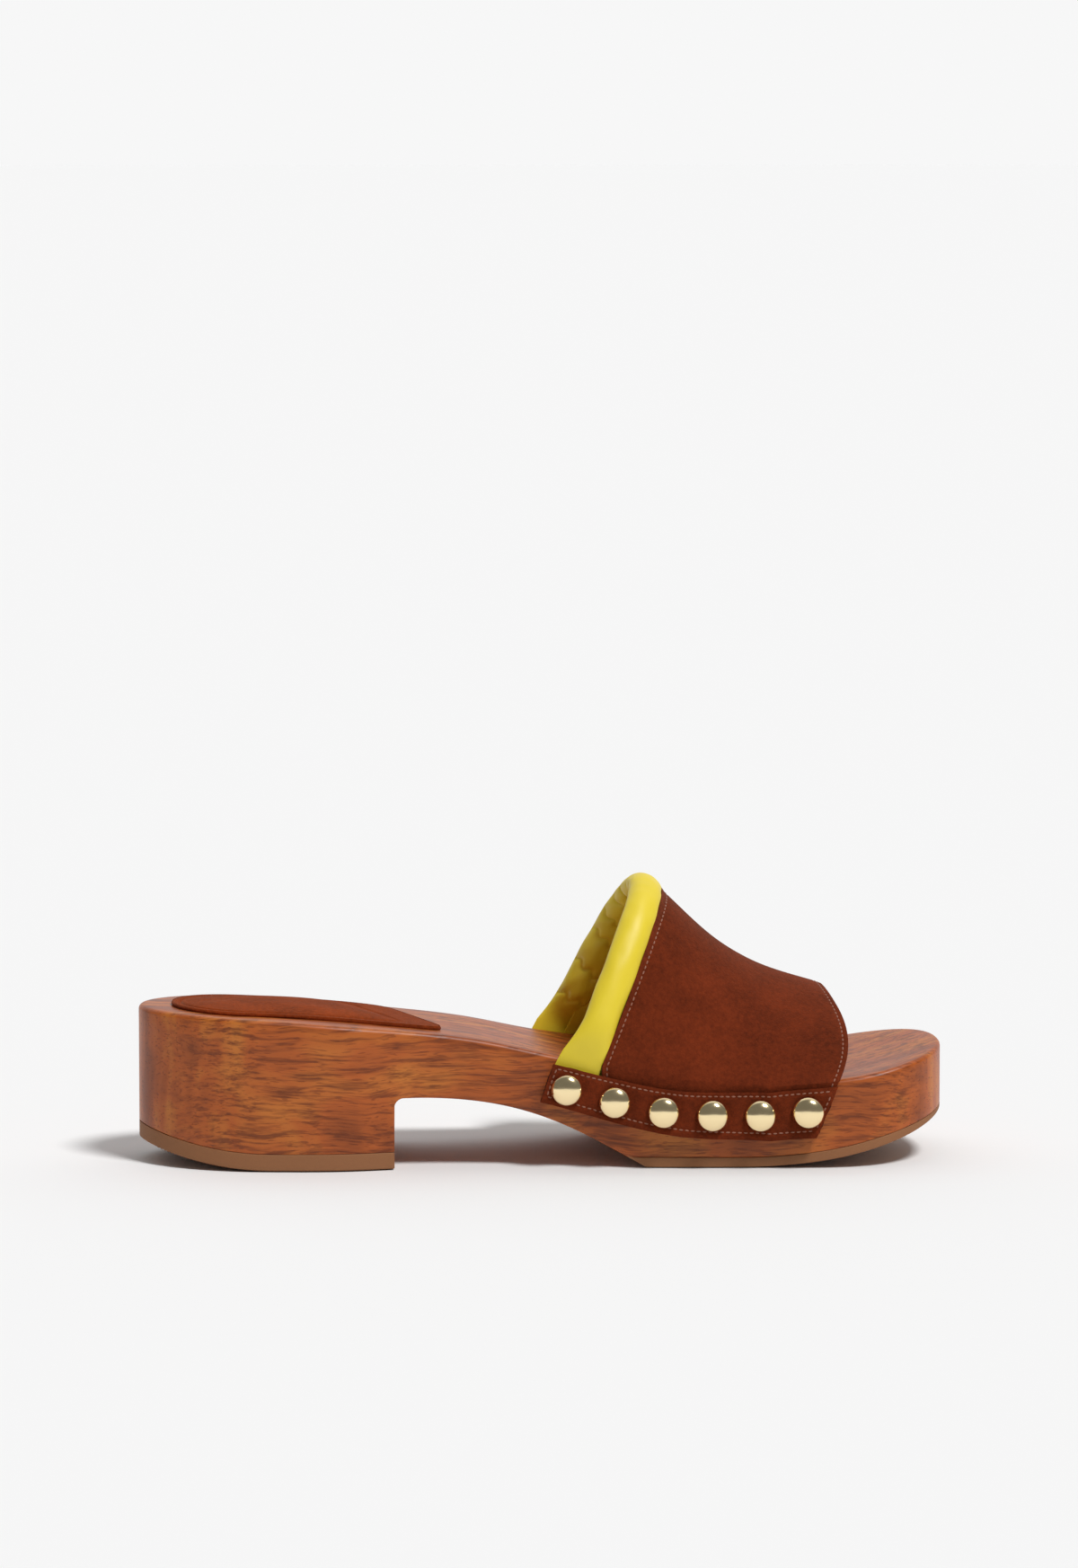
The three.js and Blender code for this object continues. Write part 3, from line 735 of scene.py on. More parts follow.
def ramp(tree, factor, stops):
    """A colour ramp from factor through (position, colour) stops."""
    node = add_node(tree, "ShaderNodeValToRGB", {"Fac": factor})
    elements = node.color_ramp.elements
    while len(elements) < len(stops):
        elements.new(0.5)
    for element, (position, colour) in zip(elements, stops):
        element.position = position
        element.color = colour
    return node.outputs["Color"]


def grey(value):
    return (value, value, value, 1)


def stretched(tree, source, stretch):
    """Coordinates that stretch a pattern by a factor along each axis."""
    mapping = add_node(tree, "ShaderNodeMapping",
                       {"Vector": source, "Scale": [1 / factor for factor in stretch]})
    return mapping.outputs["Vector"]


def between_colours(a, b, t):
    return [mix(x, y, t) for x, y in zip(a, b)]


def blend(tree, factor, a, b, how="MIX"):
    node = add_node(tree, "ShaderNodeMix", {"Factor": factor, "A": a, "B": b},
                    data_type="RGBA", blend_type=how)
    return node.outputs["Result"]


def math_node(tree, operation, a, b=0.0):
    node = add_node(tree, "ShaderNodeMath", {0: a, 1: b}, operation=operation)
    return node.outputs["Value"]


def oiled_alder(colours):
    """Oiled hardwood, sanded and rubbed: warm red-brown with fine wavy darker streaks and
    open pores along the sole, upright growth bands on the two ends, and a soft oil gloss."""
    material, tree = new_material("oiled_alder")
    place = add_node(tree, "ShaderNodeTexCoord").outputs["Object"]
    end_grain = add_node(tree, "ShaderNodeAttribute", attribute_name="end_grain",
                         attribute_type="GEOMETRY").outputs["Fac"]
    side_grain = math_node(tree, "SUBTRACT", 1.0, end_grain)
    # the fibres wander by a few millimetres along the sole
    drift = add_node(tree, "ShaderNodeTexNoise",
                     {"Vector": place, "Scale": per_metre(34), "Detail": 2.0})
    centred = add_node(tree, "ShaderNodeVectorMath",
                       {0: drift.outputs["Color"], 1: (0.5, 0.5, 0.5)}, operation="SUBTRACT")
    pushed = add_node(tree, "ShaderNodeVectorMath",
                      {0: centred.outputs["Vector"], "Scale": 7 * MM}, operation="SCALE")
    bent = add_node(tree, "ShaderNodeVectorMath",
                    {0: place, 1: pushed.outputs["Vector"]}, operation="ADD").outputs["Vector"]
    # growth bands a few millimetres apart across the sole, upright and nearly straight
    rings = add_node(tree, "ShaderNodeTexNoise",
                     {"Vector": stretched(tree, bent, (9, 1, 9)), "Scale": per_metre(5),
                      "Detail": 2.0, "Roughness": 0.5})
    broad = add_node(tree, "ShaderNodeTexNoise",
                     {"Vector": stretched(tree, bent, (4, 1, 1)), "Scale": per_metre(9),
                      "Detail": 3.0, "Roughness": 0.55})
    tone = math_node(tree, "ADD", math_node(tree, "MULTIPLY", rings.outputs["Fac"], 0.65),
                     math_node(tree, "MULTIPLY", broad.outputs["Fac"], 0.35))
    base = ramp(tree, tone, [(0.36, between_colours(colours.wood_dark, colours.wood, 0.5)),
                             (0.5, colours.wood), (0.64, colours.wood_light)])
    # darker streaks, a millimetre or two across and a few centimetres long
    streaks = add_node(tree, "ShaderNodeTexNoise",
                       {"Vector": stretched(tree, bent, (16, 2, 1)), "Scale": per_metre(1.4),
                        "Detail": 3.0, "Roughness": 0.65})
    streak = ramp(tree, streaks.outputs["Fac"], [(0.36, grey(1)), (0.54, grey(0))])
    streaked = blend(tree, math_node(tree, "MULTIPLY", math_node(
        tree, "MULTIPLY", streak, side_grain), 0.72), base, colours.wood_dark)
    # open pores: hair lines a few millimetres long
    pores = add_node(tree, "ShaderNodeTexNoise",
                     {"Vector": stretched(tree, bent, (9, 1.5, 1)), "Scale": per_metre(0.6),
                      "Detail": 1.0, "Roughness": 0.5})
    pore = ramp(tree, pores.outputs["Fac"], [(0.33, grey(1)), (0.4, grey(0))])
    shade = blend(tree, math_node(tree, "MULTIPLY", pore, 0.45), streaked, colours.wood_dark)
    height = math_node(tree, "SUBTRACT", math_node(tree, "MULTIPLY", streaks.outputs["Fac"], 0.3),
                       pore)
    bump = add_node(tree, "ShaderNodeBump", {"Height": height, "Strength": 0.3,
                                             "Distance": 0.08 * MM})
    rough = add_node(tree, "ShaderNodeMapRange",
                     {"Value": broad.outputs["Fac"], "To Min": 0.34, "To Max": 0.46})
    shader = add_node(tree, "ShaderNodeBsdfPrincipled",
                      {"Base Color": shade, "Roughness": rough.outputs["Result"],
                       "Normal": bump.outputs["Normal"], "IOR": 1.5,
                       "Specular IOR Level": 0.38})
    finish_material(tree, shader)
    return material


def napped_suede(colours):
    """The vamp's and bands' leather: a deep, dark rust nap."""
    return split_suede("napped_suede", colours.suede)


def brushed_suede(colours):
    """The heel pad's leather: the same hide brushed up, so it looks lighter and warmer."""
    return split_suede("brushed_suede", colours.pad_suede)


def split_suede(name, colour):
    """Split cowhide buffed to a nap: matt rust brown, mottled where the nap lies differently,
    with a soft bloom at grazing angles."""
    material, tree = new_material(name)
    place = add_node(tree, "ShaderNodeTexCoord").outputs["Object"]
    lay = add_node(tree, "ShaderNodeTexNoise",
                   {"Vector": place, "Scale": per_metre(15), "Detail": 3.0, "Roughness": 0.6})
    nap = add_node(tree, "ShaderNodeTexNoise",
                   {"Vector": place, "Scale": per_metre(1.5), "Detail": 4.0, "Roughness": 0.8})
    tone = math_node(tree, "ADD", math_node(tree, "MULTIPLY", lay.outputs["Fac"], 0.4),
                     math_node(tree, "MULTIPLY", nap.outputs["Fac"], 0.6))
    value = add_node(tree, "ShaderNodeMapRange",
                     {"Value": tone, "From Min": 0.36, "From Max": 0.64,
                      "To Min": 0.66, "To Max": 1.4})
    shade = add_node(tree, "ShaderNodeHueSaturation",
                     {"Color": colour, "Value": value.outputs["Result"]})
    fibres = add_node(tree, "ShaderNodeTexNoise",
                      {"Vector": place, "Scale": per_metre(0.7), "Detail": 3.0,
                       "Roughness": 0.8})
    bump = add_node(tree, "ShaderNodeBump",
                    {"Height": fibres.outputs["Fac"], "Strength": 0.8, "Distance": 0.3 * MM})
    shader = add_node(tree, "ShaderNodeBsdfPrincipled",
                      {"Base Color": shade.outputs["Color"], "Roughness": 0.95,
                       "Normal": bump.outputs["Normal"], "Specular IOR Level": 0.1,
                       "Sheen Weight": 0.22, "Sheen Roughness": 0.45,
                       "Sheen Tint": (0.75, 0.42, 0.27, 1)})
    finish_material(tree, shader)
    return material


def cut_suede_and_shade(colours):
    """The raw cut through the suede: dull and a little fibrous, and painted darker than its face,
    partly the cut's own colour and partly painted shade along the edge.
    """
    material, tree = new_material("cut_suede_and_shade")
    place = add_node(tree, "ShaderNodeTexCoord").outputs["Object"]
    fibres = add_node(tree, "ShaderNodeTexNoise",
                      {"Vector": place, "Scale": per_metre(0.8), "Detail": 3.0})
    value = add_node(tree, "ShaderNodeMapRange",
                     {"Value": fibres.outputs["Fac"], "To Min": 0.7, "To Max": 1.3})
    # painted shade: the edge's dark colour also stands for the shade along the thin line of the
    # suede's edge
    shade = add_node(tree, "ShaderNodeHueSaturation",
                     {"Color": colours.cut_edge_and_shade, "Value": value.outputs["Result"]})
    shader = add_node(tree, "ShaderNodeBsdfPrincipled",
                      {"Base Color": shade.outputs["Color"], "Roughness": 0.9,
                       "Specular IOR Level": 0.1})
    finish_material(tree, shader)
    return material


def dyed_nappa(colours):
    """Smooth dyed nappa leather: even yellow, with a fine grain and a satin finish."""
    material, tree = new_material("dyed_nappa")
    place = add_node(tree, "ShaderNodeTexCoord").outputs["Object"]
    cloud = add_node(tree, "ShaderNodeTexNoise",
                     {"Vector": place, "Scale": per_metre(14), "Detail": 2.0})
    value = add_node(tree, "ShaderNodeMapRange",
                     {"Value": cloud.outputs["Fac"], "To Min": 0.93, "To Max": 1.05})
    shade = add_node(tree, "ShaderNodeHueSaturation",
                     {"Color": colours.leather, "Value": value.outputs["Result"]})
    grain = add_node(tree, "ShaderNodeTexVoronoi",
                     {"Vector": place, "Scale": per_metre(0.8), "Randomness": 1.0},
                     feature="DISTANCE_TO_EDGE")
    wrinkle = add_node(tree, "ShaderNodeTexNoise",
                       {"Vector": place, "Scale": per_metre(3), "Detail": 3.0})
    height = math_node(tree, "ADD", grain.outputs["Distance"],
                       math_node(tree, "MULTIPLY", wrinkle.outputs["Fac"], 0.8))
    bump = add_node(tree, "ShaderNodeBump",
                    {"Height": height, "Strength": 0.22, "Distance": 0.12 * MM})
    shader = add_node(tree, "ShaderNodeBsdfPrincipled",
                      {"Base Color": shade.outputs["Color"], "Roughness": 0.46,
                       "Normal": bump.outputs["Normal"], "IOR": 1.48})
    finish_material(tree, shader)
    return material


def moulded_rubber(colours):
    """Moulded crepe-coloured rubber: flat tan, matt, faintly speckled and never quite even."""
    material, tree = new_material("moulded_rubber")
    place = add_node(tree, "ShaderNodeTexCoord").outputs["Object"]
    speck = add_node(tree, "ShaderNodeTexNoise",
                     {"Vector": place, "Scale": per_metre(0.7), "Detail": 3.0})
    value = add_node(tree, "ShaderNodeMapRange",
                     {"Value": speck.outputs["Fac"], "To Min": 0.93, "To Max": 1.06})
    shade = add_node(tree, "ShaderNodeHueSaturation",
                     {"Color": colours.rubber, "Value": value.outputs["Result"]})
    bump = add_node(tree, "ShaderNodeBump",
                    {"Height": speck.outputs["Fac"], "Strength": 0.3, "Distance": 0.08 * MM})
    shader = add_node(tree, "ShaderNodeBsdfPrincipled",
                      {"Base Color": shade.outputs["Color"], "Roughness": 0.72,
                       "Normal": bump.outputs["Normal"], "IOR": 1.52})
    finish_material(tree, shader)
    return material


def spun_thread(colours):
    """Bonded polyester sewing thread: pinkish tan, its twist too fine to show."""
    material, tree = new_material("spun_thread")
    place = add_node(tree, "ShaderNodeTexCoord").outputs["Object"]
    twist = add_node(tree, "ShaderNodeTexNoise",
                     {"Vector": place, "Scale": per_metre(0.5), "Detail": 2.0})
    value = add_node(tree, "ShaderNodeMapRange",
                     {"Value": twist.outputs["Fac"], "To Min": 0.75, "To Max": 1.2})
    shade = add_node(tree, "ShaderNodeHueSaturation",
                     {"Color": colours.thread, "Value": value.outputs["Result"]})
    shader = add_node(tree, "ShaderNodeBsdfPrincipled",
                      {"Base Color": shade.outputs["Color"], "Roughness": 0.7,
                       "Sheen Weight": 0.2})
    finish_material(tree, shader)
    return material


def polished_brass(colours):
    """Pressed and polished brass-plated dome: pale gold, with faint handling haze."""
    material, tree = new_material("polished_brass")
    place = add_node(tree, "ShaderNodeTexCoord").outputs["Object"]
    haze = add_node(tree, "ShaderNodeTexNoise",
                    {"Vector": place, "Scale": per_metre(2.5), "Detail": 4.0, "Roughness": 0.6})
    rough = add_node(tree, "ShaderNodeMapRange",
                     {"Value": haze.outputs["Fac"], "To Min": 0.1, "To Max": 0.24})
    shader = add_node(tree, "ShaderNodeBsdfPrincipled",
                      {"Base Color": colours.brass, "Metallic": 1.0,
                       "Roughness": rough.outputs["Result"]})
    finish_material(tree, shader)
    return material


def drawn_steel():
    """Bright drawn steel wire nail, dulled by handling: mid grey with a satin gloss."""
    material, tree = new_material("drawn_steel")
    place = add_node(tree, "ShaderNodeTexCoord").outputs["Object"]
    wear = add_node(tree, "ShaderNodeTexNoise",
                    {"Vector": place, "Scale": per_metre(1.2), "Detail": 3.0})
    rough = add_node(tree, "ShaderNodeMapRange",
                     {"Value": wear.outputs["Fac"], "To Min": 0.28, "To Max": 0.5})
    shader = add_node(tree, "ShaderNodeBsdfPrincipled",
                      {"Base Color": to_linear("#9c9c9a"), "Metallic": 1.0,
                       "Roughness": rough.outputs["Result"]})
    finish_material(tree, shader)
    return material


def finish_of(name):
    """The material of that name, made the first time it is asked for."""
    found = bpy.data.materials.get(name)
    if found:
        return found
    makers = {"oiled_alder": oiled_alder, "napped_suede": napped_suede,
              "brushed_suede": brushed_suede, "cut_suede_and_shade": cut_suede_and_shade, "dyed_nappa": dyed_nappa,
              "moulded_rubber": moulded_rubber, "spun_thread": spun_thread,
              "polished_brass": polished_brass}
    return makers[name](bpy.context.scene.clog_colours)


# ---------------------------------------------------------------- operators

class CLOG_OT_sole(bpy.types.Operator):
    """Carve the wooden sole with its block heel, arch and dished footbed"""
    bl_idname = "clog.sole"
    bl_label = "Wooden sole"

    def execute(self, context):
        sizes = context.scene.clog_sizes
        dish = sizes.dish / MM

        def top(x, share):
            hollow = dish * ease(x, 110, 170) * (1 - (1 - share) ** 2)
            return footbed(x) - hollow

        bm = slab(0, SOLE_LENGTH, wood_underside, top, sizes.low_round / MM / 2,
                  sizes.top_round / MM)
        bm.normal_update()
        end_grain = bm.verts.layers.float.new("end_grain")
        for vert in bm.verts:
            vert[end_grain] = ease(abs(vert.normal.x), 0.35, 0.9)
        finish_piece(bm, "carved_sole", finish_of("oiled_alder"),
                     ["wooden_sole"], sharp=30)
        return {"FINISHED"}


class CLOG_OT_treads(bpy.types.Operator):
    """Add the rubber heel lift and the forefoot outsole, with their fine ribs"""
    bl_idname = "clog.treads"
    bl_label = "Rubber treads"

    def execute(self, context):
        sizes = context.scene.clog_sizes
        pitch, depth = sizes.rib_pitch / MM, sizes.rib_depth / MM
        edge = 0.25

        lift = slab(0, HEEL_LENGTH, lambda x: tread(x) + depth,
                    lambda x, share: tread(x) + LIFT_THICKNESS, edge, edge)
        holes = []
        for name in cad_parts:
            if name.startswith("heel_nail"):
                low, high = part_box(name)
                spot = (low + high) / 2 / MM - SHIFT
                holes.append(Vector((spot.x, spot.y, low.z / MM + NAIL_HEAD_THICKNESS)))
        drill(lift, holes)
        add_ribs(lift, 0, HEEL_LENGTH, pitch, depth, holes)
        finish_piece(lift, "heel_lift", finish_of("moulded_rubber"),
                     ["rubber_heel_lift"])

        start = ARCH_END - OUTSOLE_THICKNESS / ARCH_SLOPE
        outsole = slab(start, SOLE_LENGTH,
                       lambda x: max(tread(x) + depth * 0.5, (ARCH_END - x) * ARCH_SLOPE),
                       lambda x, share: max(outsole_top(x), (ARCH_END - x) * ARCH_SLOPE + 0.6),
                       edge, edge)
        add_ribs(outsole, ARCH_END + 1, SOLE_LENGTH, pitch * 2, depth * 0.5)
        finish_piece(outsole, "forefoot_tread", finish_of("moulded_rubber"),
                     ["forefoot_outsole"])
        return {"FINISHED"}


class CLOG_OT_heel_pad(bpy.types.Operator):
    """Lay the suede heel pad, swollen over its foam, on the footbed"""
    bl_idname = "clog.heel_pad"
    bl_label = "Heel pad"

    def execute(self, context):
        low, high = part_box("heel_pad_cover")
        rear = (low.x - SOLE_LOW.x) / MM
        half_in, half_out = PAD_INNER_HALF, PAD_OUTER_HALF
        front_in = (high.x - SOLE_LOW.x) / MM + 4
        front_out = front_in - PAD_SLANT
        centre = rear + half_in
        crown = context.scene.clog_sizes.pad_crown / MM

        def reach(angle, inset, short):
            """Distance from the pad's middle to its outline, drawn in by inset all round and
            by a further length at its front end."""
            run = Vector((math.cos(angle), math.sin(angle)))
            half = (half_in if run.y < 0 else half_out) - inset
            if run.x <= 0:
                return 1 / math.hypot(run.x / (half_in - inset), run.y / half)
            across = (front_in + front_out) / 2 - centre - inset - short
            lean = (front_in - front_out) / (half_in + half_out)
            to_front = across / (run.x + lean * run.y)
            to_side = half / max(abs(run.y), 1e-6)
            power = 9
            front = to_front ** -power if to_front > 0 else 0
            return (front + to_side ** -power) ** (-1 / power)

        rows = [("base", t) for t in spread(0, 1, 6)] + [("rim", t) for t in spread(0, 1, 4)]
        rows += [("top", 1 - t ** 1.5) for t in spread(0, 1, 64)]

        def place(u, v):
            angle = 2 * math.pi * u
            kind, amount = rows[round(v * (len(rows) - 1))]
            edge = reach(angle, 0, 0)
            foam = reach(angle, PAD_FLANGE, PAD_FRONT_FLANGE)
            out = edge if kind == "rim" else amount * edge
            x, y = centre + out * math.cos(angle), out * math.sin(angle)
            lift = {"base": 0, "rim": PAD_RIM * amount, "top": PAD_RIM}[kind]
            if kind == "rim":
                bulge = 0.3 * math.sin(math.pi * amount)
                x, y = x + bulge * math.cos(angle), y + bulge * math.sin(angle)
            if kind == "top":
                share = clamp(out / foam)
                lift += (crown - PAD_SWELLING) * (1 - share ** 2.6) ** 0.8
                lift -= PAD_GROOVE * hump(out - foam, 0.6)
                lift -= 0.3 * hump(edge - out, 0.3)
                lift += 0.1 * noise.noise(Vector((x, y, 0)) * 0.15)
            return Vector((x, y, footbed(x) + 0.05 + lift))

        def is_sewn(vert):
            run = vert.co / MM - SHIFT - Vector((centre, 0, 0))
            seam = reach(math.atan2(run.y, run.x), PAD_FLANGE, PAD_FRONT_FLANGE)
            return vert.normal.z < 0.5 or math.hypot(run.x, run.y) > seam - 1

        bm = bent_grid(176, len(rows) - 1, place, wrap=True)
        pad = finish_piece(bm, "heel_pad", finish_of("brushed_suede"),
                           ["heel_pad_cover", "heel_pad_foam"], sharp=60)
        swell(pad, [vert.index for vert in pad.data.vertices if is_sewn(vert)],
              PAD_SWELLING * MM)
        return {"FINISHED"}


def vamp_girth(u):
    """Spreads u from 0 to 1 over g from -2 to 2, a tenth of it on each wall."""
    on_wall = 0.1
    if u < on_wall:
        return -2 + u / on_wall
    if u > 1 - on_wall:
        return 2 - (1 - u) / on_wall
    return -1 + 2 * (u - on_wall) / (1 - 2 * on_wall)


REAR_LAP = 0.5
REAR_SEAM = 1.6
FRONT_SEAM = 1.7


def vamp_surface(u, v):
    """Outer skin of the vamp, drawn in along its two seams."""
    g = vamp_girth(u)
    rear, front = throat(g) - REAR_LAP, front_edge(g)
    x = mix(rear, front, v)
    seam = hump(x - rear - REAR_SEAM, 0.6) + hump(front - x - FRONT_SEAM, 0.6)
    turned = hump(front - x, 0.8) - 3 * hump(x - rear, 1.1) * min(1, collar_above(g) / 9 + 1)
    swell = 0.35 * noise.noise(Vector((x, g * 30, 3)) * 0.055)
    return upper_point(x, g, VAMP_OUTSIDE + swell - 0.22 * seam - 0.2 * turned)


class CLOG_OT_vamp(bpy.types.Operator):
    """Draw the suede vamp and its leather lining over the instep"""
    bl_idname = "clog.vamp"
    bl_label = "Vamp and lining"

    def execute(self, context):
        centre = to_frame(Vector((190, 0, 20)))

        def eased(u, v):
            return vamp_surface(u, v + 0.09 * math.sin(4 * math.pi * v) / (4 * math.pi) * -4)

        bm = bent_grid(220, 110, eased)
        face_away(bm, centre)
        # the vamp's rim takes the dark cut-edge colour, partly painted shade along its edge
        vamp = finish_piece(bm, "suede_vamp", finish_of("napped_suede"), ["vamp"],
                            rim=finish_of("cut_suede_and_shade"))
        thicken(vamp, VAMP_THICKNESS, 0.2)

        def inside(u, v):
            g = vamp_girth(u)
            x = mix(throat(g) - 3.5, front_edge(g) - 0.4, v)
            return upper_point(x, g, LINING_INSIDE + LINING_THICKNESS)

        bm = bent_grid(120, 40, inside)
        face_away(bm, centre)
        lining = finish_piece(bm, "leather_lining", finish_of("dyed_nappa"),
                              ["vamp_lining"])
        thicken(lining, LINING_THICKNESS, 0.15)
        return {"FINISHED"}


class CLOG_OT_collar(bpy.types.Operator):
    """Roll the padded leather collar round the vamp's throat"""
    bl_idname = "clog.collar"
    bl_label = "Padded collar"

    def execute(self, context):
        depth = context.scene.clog_sizes.crease_depth / MM
        chance = random.Random(4)
        creases = []
        g = -0.88
        while g < 0.9:
            creases.append((g, chance.uniform(-0.03, 0.03), chance.uniform(0.5, 1)))
            g += chance.uniform(0.09, 0.16)

        def place(u, v):
            g = mix(-COLLAR_TAIL, COLLAR_TAIL, u)
            angle = 2 * math.pi * v
            half = mix(COLLAR_THICKNESS / 2, VAMP_THICKNESS / 2, collar_flat(g))
            flare = COLLAR_FLARE * (1 - ease(collar_above(g), FLARE_FULL, FLARE_GONE))
            inwards = max(-math.sin(angle), 0)
            wander = 0.012 * math.sin(5 * angle + 40 * g)
            fold = 0.0
            for at, lean, size in creases:
                away = g - at - lean * math.cos(angle) - wander
                fold += size * (0.6 * hump(away, 0.011) + 0.5 * hump(away, 0.04))
            pull = depth * fold * inwards ** 0.5 * (1 - collar_flat(g))
            lump = 0.25 * noise.noise(Vector((g * 9, math.cos(angle), math.sin(angle))) * 1.3)
            width = COLLAR_WIDTH / 2 + (lump - pull) * (1 - collar_flat(g))
            thick = half + (lump - pull) * (1 - collar_flat(g))
            a = width * math.cos(angle) - flare * max(-math.cos(angle), 0)
            return collar_point(g, a, thick * math.sin(angle))

        bm = bent_grid(900, 48, place, wrap=True)
        bmesh.ops.holes_fill(bm, edges=bm.edges, sides=0)
        bmesh.ops.recalc_face_normals(bm, faces=bm.faces)
        collar = finish_piece(bm, "collar_roll", finish_of("dyed_nappa"),
                              ["collar_cover", "collar_foam"], sharp=70)
        return {"FINISHED"}


BAND_TOP_SEAM = 1.3
BAND_LOW_SEAM = 2.3
BAND_END_SEAM = 1.3


def band_surface(side):
    """Outer skin of a band, sunk along its seams and under its studs' rims."""
    def surface(u, v):
        up = (2 * v - 1) * band_half(u)
        base = band_point(side, u, up, 0)
        half = band_half(u)
        seam = hump(half - up - BAND_TOP_SEAM, 0.5) + hump(half + up - BAND_LOW_SEAM, 0.5)
        edge = hump(half - up, 0.9) + hump(half + up, 0.9)
        over_collar = 1.1 * ease(up, 0, half) * (1 - ease(base.x, 136, 150))
        dent = 0.0
        for seat, _ in stud_seats(side):
            away = math.hypot(base.x - seat.x, base.z - seat.z)
            dent += 0.5 * hump(away - 4.6, 1.5) if away > 4.6 else 0.5
        puff = 0.45 * (1 - (up / half) ** 2)
        off = BAND_INSIDE + BAND_THICKNESS + over_collar + puff - 0.25 * seam - 0.3 * edge
        ripple = 0.15 * noise.noise(Vector((base.x, up, side * 9)) * 0.16)
        return band_point(side, u, up, off - dent + ripple)
    return surface


class CLOG_OT_bands(bpy.types.Operator):
    """Nail a leather band over the upper's edge on each side"""
    bl_idname = "clog.bands"
    bl_label = "Stud bands"

    def execute(self, context):
        for side, word in ((INNER, "inner"), (OUTER, "outer")):
            bm = bent_grid(240, 44, band_surface(side))
            face_away(bm, to_frame(Vector((170, 0, 20))))
            # each band's rim takes the dark cut-edge colour, partly painted shade along its edges
            band = finish_piece(bm, f"suede_band_{word}", finish_of("napped_suede"),
                                [f"stud_band_{word}"],
                                rim=finish_of("cut_suede_and_shade"))
            thicken(band, BAND_THICKNESS, 0.3)
        return {"FINISHED"}


class CLOG_OT_stitches(bpy.types.Operator):
    """Sew the vamp's two edges and the bands with tan thread"""
    bl_idname = "clog.stitches"
    bl_label = "Stitches"

    def execute(self, context):
        sizes = context.scene.clog_sizes
        bm = bmesh.new()
        for from_rear in (True, False):
            def path(t, from_rear=from_rear):
                u = mix(0.075, 0.925, t)
                g = vamp_girth(u)
                length = front_edge(g) - throat(g) + REAR_LAP
                v = REAR_SEAM / length if from_rear else 1 - FRONT_SEAM / length
                return vamp_surface(u, v), surface_normal(vamp_surface, u, v)
            stitch_row(bm, path, sizes, 11 + from_rear)
        finish_piece(bm, "vamp_stitches", finish_of("spun_thread"), [])

        for side, word in ((INNER, "inner"), (OUTER, "outer")):
            surface = band_surface(side)
            bm = bmesh.new()

            def along_band(inset, above, surface=surface):
                def path(t):
                    u = mix(0.016, 0.984, t)
                    share = inset / (2 * band_half(u))
                    v = 1 - share if above else share
                    return surface(u, v), surface_normal(surface, u, v)
                return path

            def up_end(u, surface=surface):
                def path(t):
                    v = mix(0.2, 0.86, t)
                    return surface(u, v), surface_normal(surface, u, v)
                return path

            end = BAND_END_SEAM / (BAND_FRONT - BAND_REAR)
            rows = (along_band(BAND_LOW_SEAM, False), along_band(BAND_TOP_SEAM, True),
                    up_end(end), up_end(1 - end))
            for seed, path in enumerate(rows):
                stitch_row(bm, path, sizes, 21 + seed)
            finish_piece(bm, f"band_stitches_{word}", finish_of("spun_thread"),
                         [])
        return {"FINISHED"}


def turned_piece(profile, steps):
    """A closed turned piece about Z, from (radius, height) points that start and end on it."""
    bm = bmesh.new()
    verts = [bm.verts.new((r * MM, 0, z * MM)) for r, z in profile]
    edges = [bm.edges.new(pair) for pair in zip(verts, verts[1:])]
    bmesh.ops.spin(bm, geom=verts + edges, axis=(0, 0, 1), cent=(0, 0, 0),
                   angle=2 * math.pi, steps=steps, use_merge=True)
    bmesh.ops.remove_doubles(bm, verts=bm.verts, dist=0.001 * MM)
    bmesh.ops.recalc_face_normals(bm, faces=bm.faces)
    return bm


def stand_on(bm, spot, direction):
    """Moves a turned piece so that its Z axis points along direction, from spot in mm."""
    turn = Vector((0, 0, 1)).rotation_difference(direction).to_matrix().to_4x4()
    bmesh.ops.transform(bm, matrix=Matrix.Translation(to_frame(spot)) @ turn, verts=bm.verts)


class CLOG_OT_studs(bpy.types.Operator):
    """Drive the domed brass studs through the bands into the wood"""
    bl_idname = "clog.studs"
    bl_label = "Domed studs"

    def execute(self, context):
        sizes = context.scene.clog_sizes
        radius = sizes.stud_head / MM / 2
        rise = sizes.stud_rise / MM
        rim = 0.35
        length = STUD_BASE + STUD_GRIP
        shank = [(0, -length), (0.3, -length + 0.4), (1.1, -length + 2.4), (1.1, 0)]
        under = [(radius - 0.5, 0), (radius - 0.1, 0.05)]
        dome = [(radius * math.cos(a) ** 0.92, rim + (rise - rim) * math.sin(a))
                for a in spread(0, math.pi / 2, 16)]
        dome[-1] = (0, rise)
        for side, word in ((INNER, "inner"), (OUTER, "outer")):
            for i, (seat, normal) in enumerate(stud_seats(side), 1):
                bm = turned_piece(shank + under + dome, 40)
                stand_on(bm, seat + normal * STUD_BASE, normal)
                finish_piece(bm, f"brass_stud_{word}_{i}", finish_of("polished_brass"),
                             [f"stud_{word}_{i}"], sharp=50)
        return {"FINISHED"}


class CLOG_OT_nails(bpy.types.Operator):
    """Give the sunk nails under the heel their steel finish"""
    bl_idname = "clog.nails"
    bl_label = "Heel nails"

    def execute(self, context):
        steel = drawn_steel()
        for name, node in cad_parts.items():
            if name.startswith("heel_nail"):
                node.data.materials.clear()
                node.data.materials.append(steel)
        return {"FINISHED"}


